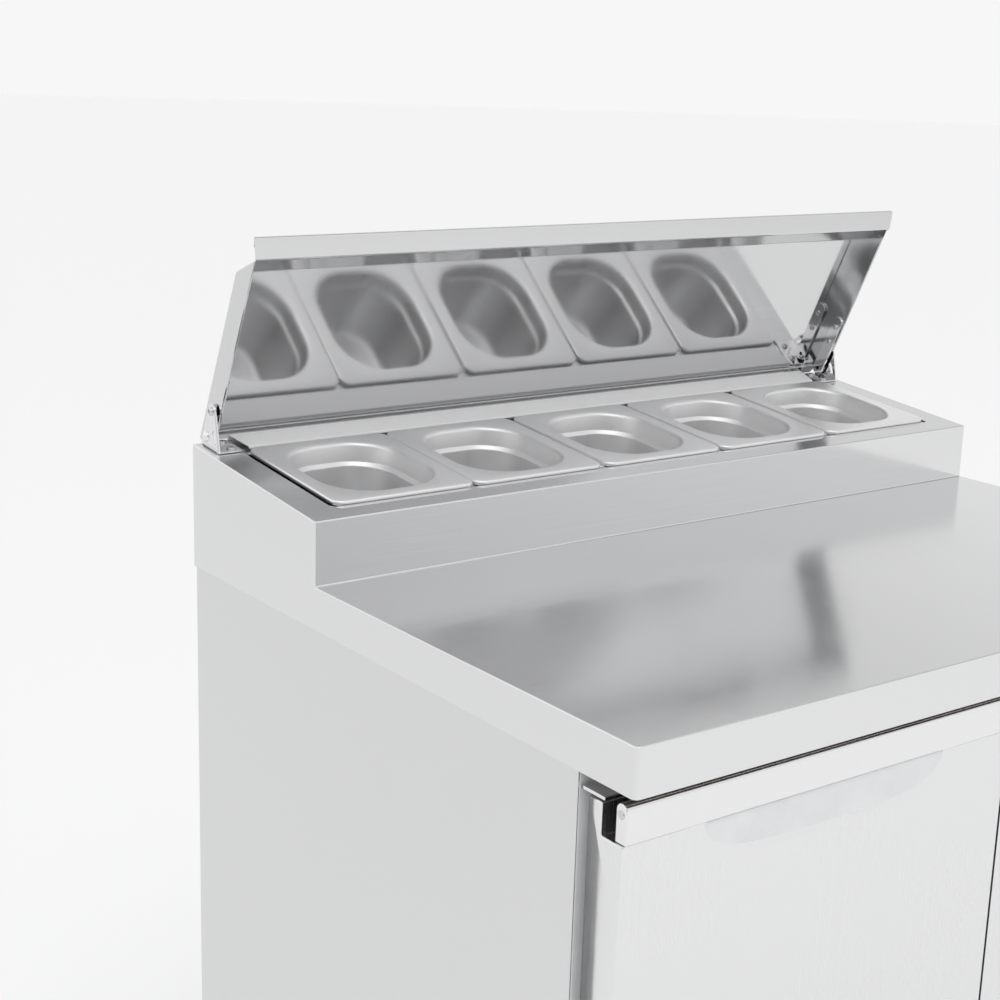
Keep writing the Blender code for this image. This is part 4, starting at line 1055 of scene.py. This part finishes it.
def blades(place, hub, radius, count, depth):
    """A moulded rotor about Y: a domed hub with cupped, twisted blades."""
    turn = Matrix.Rotation(math.pi / 2, 4, "X")
    profile = [(0, depth * 0.7), (hub * 0.7, depth * 0.62), (hub, depth * 0.4)]
    profile += [(hub, -depth * 0.45), (0, -depth * 0.45)]
    parts = [lathe(profile, 36, Matrix.Translation(place) @ turn)]
    for blade in range(count):
        rings = []
        for step in range(9):
            r = hub * 0.9 + (radius - hub * 0.9) * step / 8
            pitch = math.radians(48 - 22 * step / 8)
            chord = (0.62 + 0.5 * math.sin(math.pi * step / 8 * 0.8)) * hub * 1.2
            ring = []
            for side in (1, -1):
                for k in range(7):
                    u = (k / 6 - 0.5) * side
                    camber = 0.12 * chord * (1 - 4 * u * u)
                    across, along = u * chord, camber + side * 0.6 * MM
                    ring.append(
                        (r, along * math.cos(pitch) + across * math.sin(pitch) * 0.55,
                         across * math.cos(pitch) - along * math.sin(pitch))
                    )
            rings.append(ring)
        bm = loft(rings, cap_start=True)
        spin = Matrix.Rotation(math.tau * blade / count, 4, "Y")
        parts.append(moved(bm, Matrix.Translation(place) @ spin))
    return merged(parts)


def fans():
    for node, hub, count in (("condenser_fan", 20 * MM, 5), ("evaporator_fan", 16 * MM, 5)):
        low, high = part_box(node)
        joint = JOINTS[f"{node}_spin"]
        place = Vector(joint["pos_m"])
        radius = (high.x - low.x) / 2
        rotor = blades(place, hub, radius * 0.97, count, (high.y - low.y))
        piece(f"{node}_rotor", rotor, "black", node, [node])


def coil(node, pitch, rows):
    """Thin fins across a block, with hairpin tubes through them."""
    low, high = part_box(node)
    parts = []
    count = int((high.x - low.x - 16 * MM) / pitch)
    for i in range(count + 1):
        x = low.x + 8 * MM + i * pitch
        parts.append(block((x, low.y, low.z), (x + 0.35 * MM, high.y, high.z)))
    for x in (low.x, high.x - 1.2 * MM):
        parts.append(block((x, low.y, low.z), (x + 1.2 * MM, high.y, high.z)))
    piece(f"{node}_fins", merged(parts), "fins", "cabinet", [node])
    pipes = []
    for row in range(rows):
        z = low.z + (high.z - low.z) * (row + 0.5) / rows
        for y in (low.y + (high.y - low.y) * 0.3, low.y + (high.y - low.y) * 0.7):
            pipes.append(tube([(low.x - 4 * MM, y, z), (high.x + 4 * MM, y, z)], 3.5 * MM, 10))
    piece(f"{node}_tubes", merged(pipes), "copper", "cabinet")


def compressor():
    low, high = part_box("compressor")
    centre = Vector(((low.x + high.x) / 2, (low.y + high.y) / 2, low.z))
    height = high.z - low.z
    radius = 62 * MM
    profile = [(0, height)]
    for step in range(1, 11):
        angle = math.pi / 2 * (1 - step / 10)
        profile.append((radius * math.cos(angle), height - 34 * MM + 34 * MM * math.sin(angle)))
    seam = height * 0.5
    profile += [(radius, seam + 3 * MM), (radius + 2.5 * MM, seam + 1.5 * MM)]
    profile += [(radius + 2.5 * MM, seam - 1.5 * MM), (radius, seam - 3 * MM)]
    profile += [(radius, 30 * MM), (radius - 6 * MM, 16 * MM), (radius - 14 * MM, 8 * MM), (0, 8 * MM)]
    can = lathe(profile, 56, Matrix.Translation(centre))
    base = rounded_rectangle(85 * MM, 50 * MM, 12 * MM)
    plate = prism(base, 3 * MM, 6 * MM, "Z", Matrix.Translation(centre))
    parts = [can, plate]
    for x in (-72, 72):
        for y in (-38, 38):
            grommet = [(0, 14), (8, 14), (9, 10), (7, 7), (9, 3), (9, 0), (0, 0)]
            scaled = [(r * MM, z * MM) for r, z in grommet]
            parts.append(lathe(scaled, 18, Matrix.Translation(centre + Vector((x, y, 0)) * MM)))
    piece("compressor_can", merged(parts), "enamel", "cabinet", ["compressor"])


def panel_screws():
    low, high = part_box("back_panel")
    places = []
    for x in (low.x + 14 * MM, 0, high.x - 14 * MM):
        for z in (low.z + 12 * MM, 250 * MM, 520 * MM, 780 * MM):
            places.append(((x, high.y, z), (0, 1, 0)))
    piece("back_screws", screw_heads(places), "screw", "cabinet")


def carried_nodes():
    edges = {
        "pan_ledge": ("cabinet", 0.3), "side_panel_left": ("cabinet", 0.35),
        "side_panel_right": ("cabinet", 0.35), "back_panel": ("back", 0.3),
        "base_tray": ("back", 0.3), "liner": ("liner", 0.3), "door_frame": ("white", 1.2),
        "insulation": ("foam", 0), "worktop_board": ("board", 0), "cord_gland": ("black", 0.8),
        "evaporator_cover": ("liner", 0.3), "condensate_tray": ("tray", 0.5),
        "condenser_shroud": ("black", 1.0), "shelf_bar_front": ("wire", 0),
        "shelf_bar_rear": ("wire", 0), "door_left_core": ("white", 1.2),
        "door_right_core": ("white", 1.2),
    }
    for i in range(1, 5):
        edges[f"pan_divider_{i}"] = ("strip", 0.3)
    for side in ("left", "right"):
        for level in ("upper", "lower"):
            edges[f"door_{side}_bracket_{level}"] = ("chrome", 0.5)
    for name, (look, edge) in edges.items():
        keep_node(name, look, edge * MM)


# Stage

BACKDROP = 0.93
FLOOR_RADIUS = 40
SUN_STRENGTH = 1.95
SUN_ANGLE = math.radians(130)
SUN_TRAVEL = Vector((0.45, -0.35, -1.0))
FLOOR_LIGHT_SIZE = 3.0
FLOOR_LIGHT_POWER = 13
FLOOR_LIGHT_PLACE = (2.1, -3.1, 3.2)
RAIL_LIGHT_SIZE = 2.2
RAIL_LIGHT_POWER = 12
RAIL_LIGHT_PLACE = Vector((-0.9, -1.7, 2.7))
RAIL_LIGHT_AIM = Vector((0, 0.3, 0.93))


def camera():
    data = bpy.data.cameras.new("camera")
    data.lens = CAMERA_LENS
    data.sensor_width = 36
    data.clip_end = 200
    obj = bpy.data.objects.new("camera", data)
    bpy.context.scene.collection.objects.link(obj)
    yaw, pitch, roll = CAMERA_YAW, CAMERA_PITCH, CAMERA_ROLL
    ahead = Vector((math.sin(yaw) * math.cos(pitch), math.cos(yaw) * math.cos(pitch), -math.sin(pitch)))
    level = Vector((math.cos(yaw), -math.sin(yaw), 0))
    above = level.cross(ahead)
    right = level * math.cos(roll) + above * math.sin(roll)
    up = above * math.cos(roll) - level * math.sin(roll)
    turn = Matrix((right, up, -ahead)).transposed().to_4x4()
    obj.matrix_world = Matrix.Translation(CAMERA_PLACE) @ turn
    bpy.context.scene.camera = obj


def floor():
    bm = bmesh.new()
    bmesh.ops.create_circle(bm, cap_ends=True, radius=FLOOR_RADIUS, segments=96)
    obj = new_object("floor", bm)
    material, _, shader = start_material("floor_pale")
    shader.inputs["Base Color"].default_value = (0.95, 0.95, 0.95, 1)
    shader.inputs["Roughness"].default_value = 0.9
    obj.data.materials.append(material)


def world():
    """A white studio, brightest to the right and dimmer overhead, with an even pale backdrop."""
    scene = bpy.context.scene
    scene.world = bpy.data.worlds.new("studio")
    scene.world.use_nodes = True
    tree = scene.world.node_tree
    background = tree.nodes["Background"]
    coords = add_node(tree, "ShaderNodeTexCoord")
    facing = add_node(tree, "ShaderNodeVectorMath", operation="DOT_PRODUCT")
    facing.inputs[1].default_value = Vector((0.97, -0.12, 0.2)).normalized()
    tree.links.new(coords.outputs["Generated"], facing.inputs[0])
    axes = add_node(tree, "ShaderNodeSeparateXYZ")
    tree.links.new(coords.outputs["Generated"], axes.inputs["Vector"])
    side = map_range(tree, facing.outputs["Value"], 0.50, 1.17, -0.1, 0.80)
    height = map_range(tree, axes.outputs["Z"], 1.0, 0.50, 0.0, 0.55)
    strength = add_node(tree, "ShaderNodeMath", operation="MULTIPLY")
    tree.links.new(side, strength.inputs[0])
    tree.links.new(height, strength.inputs[1])
    path = add_node(tree, "ShaderNodeLightPath")
    backdrop = add_node(tree, "ShaderNodeMix", data_type="FLOAT")
    tree.links.new(path.outputs["Is Camera Ray"], backdrop.inputs[0])
    tree.links.new(strength.outputs["Value"], backdrop.inputs[2])
    backdrop.inputs[3].default_value = BACKDROP
    background.inputs["Color"].default_value = (1.0, 1.0, 1.0, 1.0)
    tree.links.new(backdrop.outputs[0], background.inputs["Strength"])


def soft_sun():
    data = bpy.data.lights.new("soft_sun", "SUN")
    data.energy = SUN_STRENGTH
    data.angle = SUN_ANGLE
    obj = bpy.data.objects.new("soft_sun", data)
    bpy.context.scene.collection.objects.link(obj)
    obj.matrix_world = SUN_TRAVEL.to_track_quat("-Z", "Y").to_matrix().to_4x4()


def softbox(name, size, power, place, turn):
    data = bpy.data.lights.new(name, "AREA")
    data.size = size
    data.energy = power
    obj = bpy.data.objects.new(name, data)
    bpy.context.scene.collection.objects.link(obj)
    obj.matrix_world = Matrix.Translation(place) @ turn


def softboxes():
    """One over the floor in front, whose glow the front faces pick up, and a fill on the pans."""
    softbox("floor_softbox", FLOOR_LIGHT_SIZE, FLOOR_LIGHT_POWER, FLOOR_LIGHT_PLACE, Matrix())
    aim = (RAIL_LIGHT_AIM - RAIL_LIGHT_PLACE).to_track_quat("-Z", "Y").to_matrix().to_4x4()
    softbox("rail_softbox", RAIL_LIGHT_SIZE, RAIL_LIGHT_POWER, RAIL_LIGHT_PLACE, aim)


camera()
floor()
world()
soft_sun()
softboxes()
bpy.context.scene.view_settings.view_transform = "Standard"

worktop_sheet()
rear_strip()
pans()
lid_shell()
lid_hems()
lid_arms()
hinge_ears()
for door_name in ("left", "right"):
    door_skin(door_name)
    door_pull(door_name)
    door_gasket(door_name)
    shelf_wires(door_name)
grille()
controls()
feet()
fans()
coil("condenser_coil", 3.2 * MM, 5)
coil("evaporator_coil", 4.0 * MM, 6)
compressor()
panel_screws()
carried_nodes()
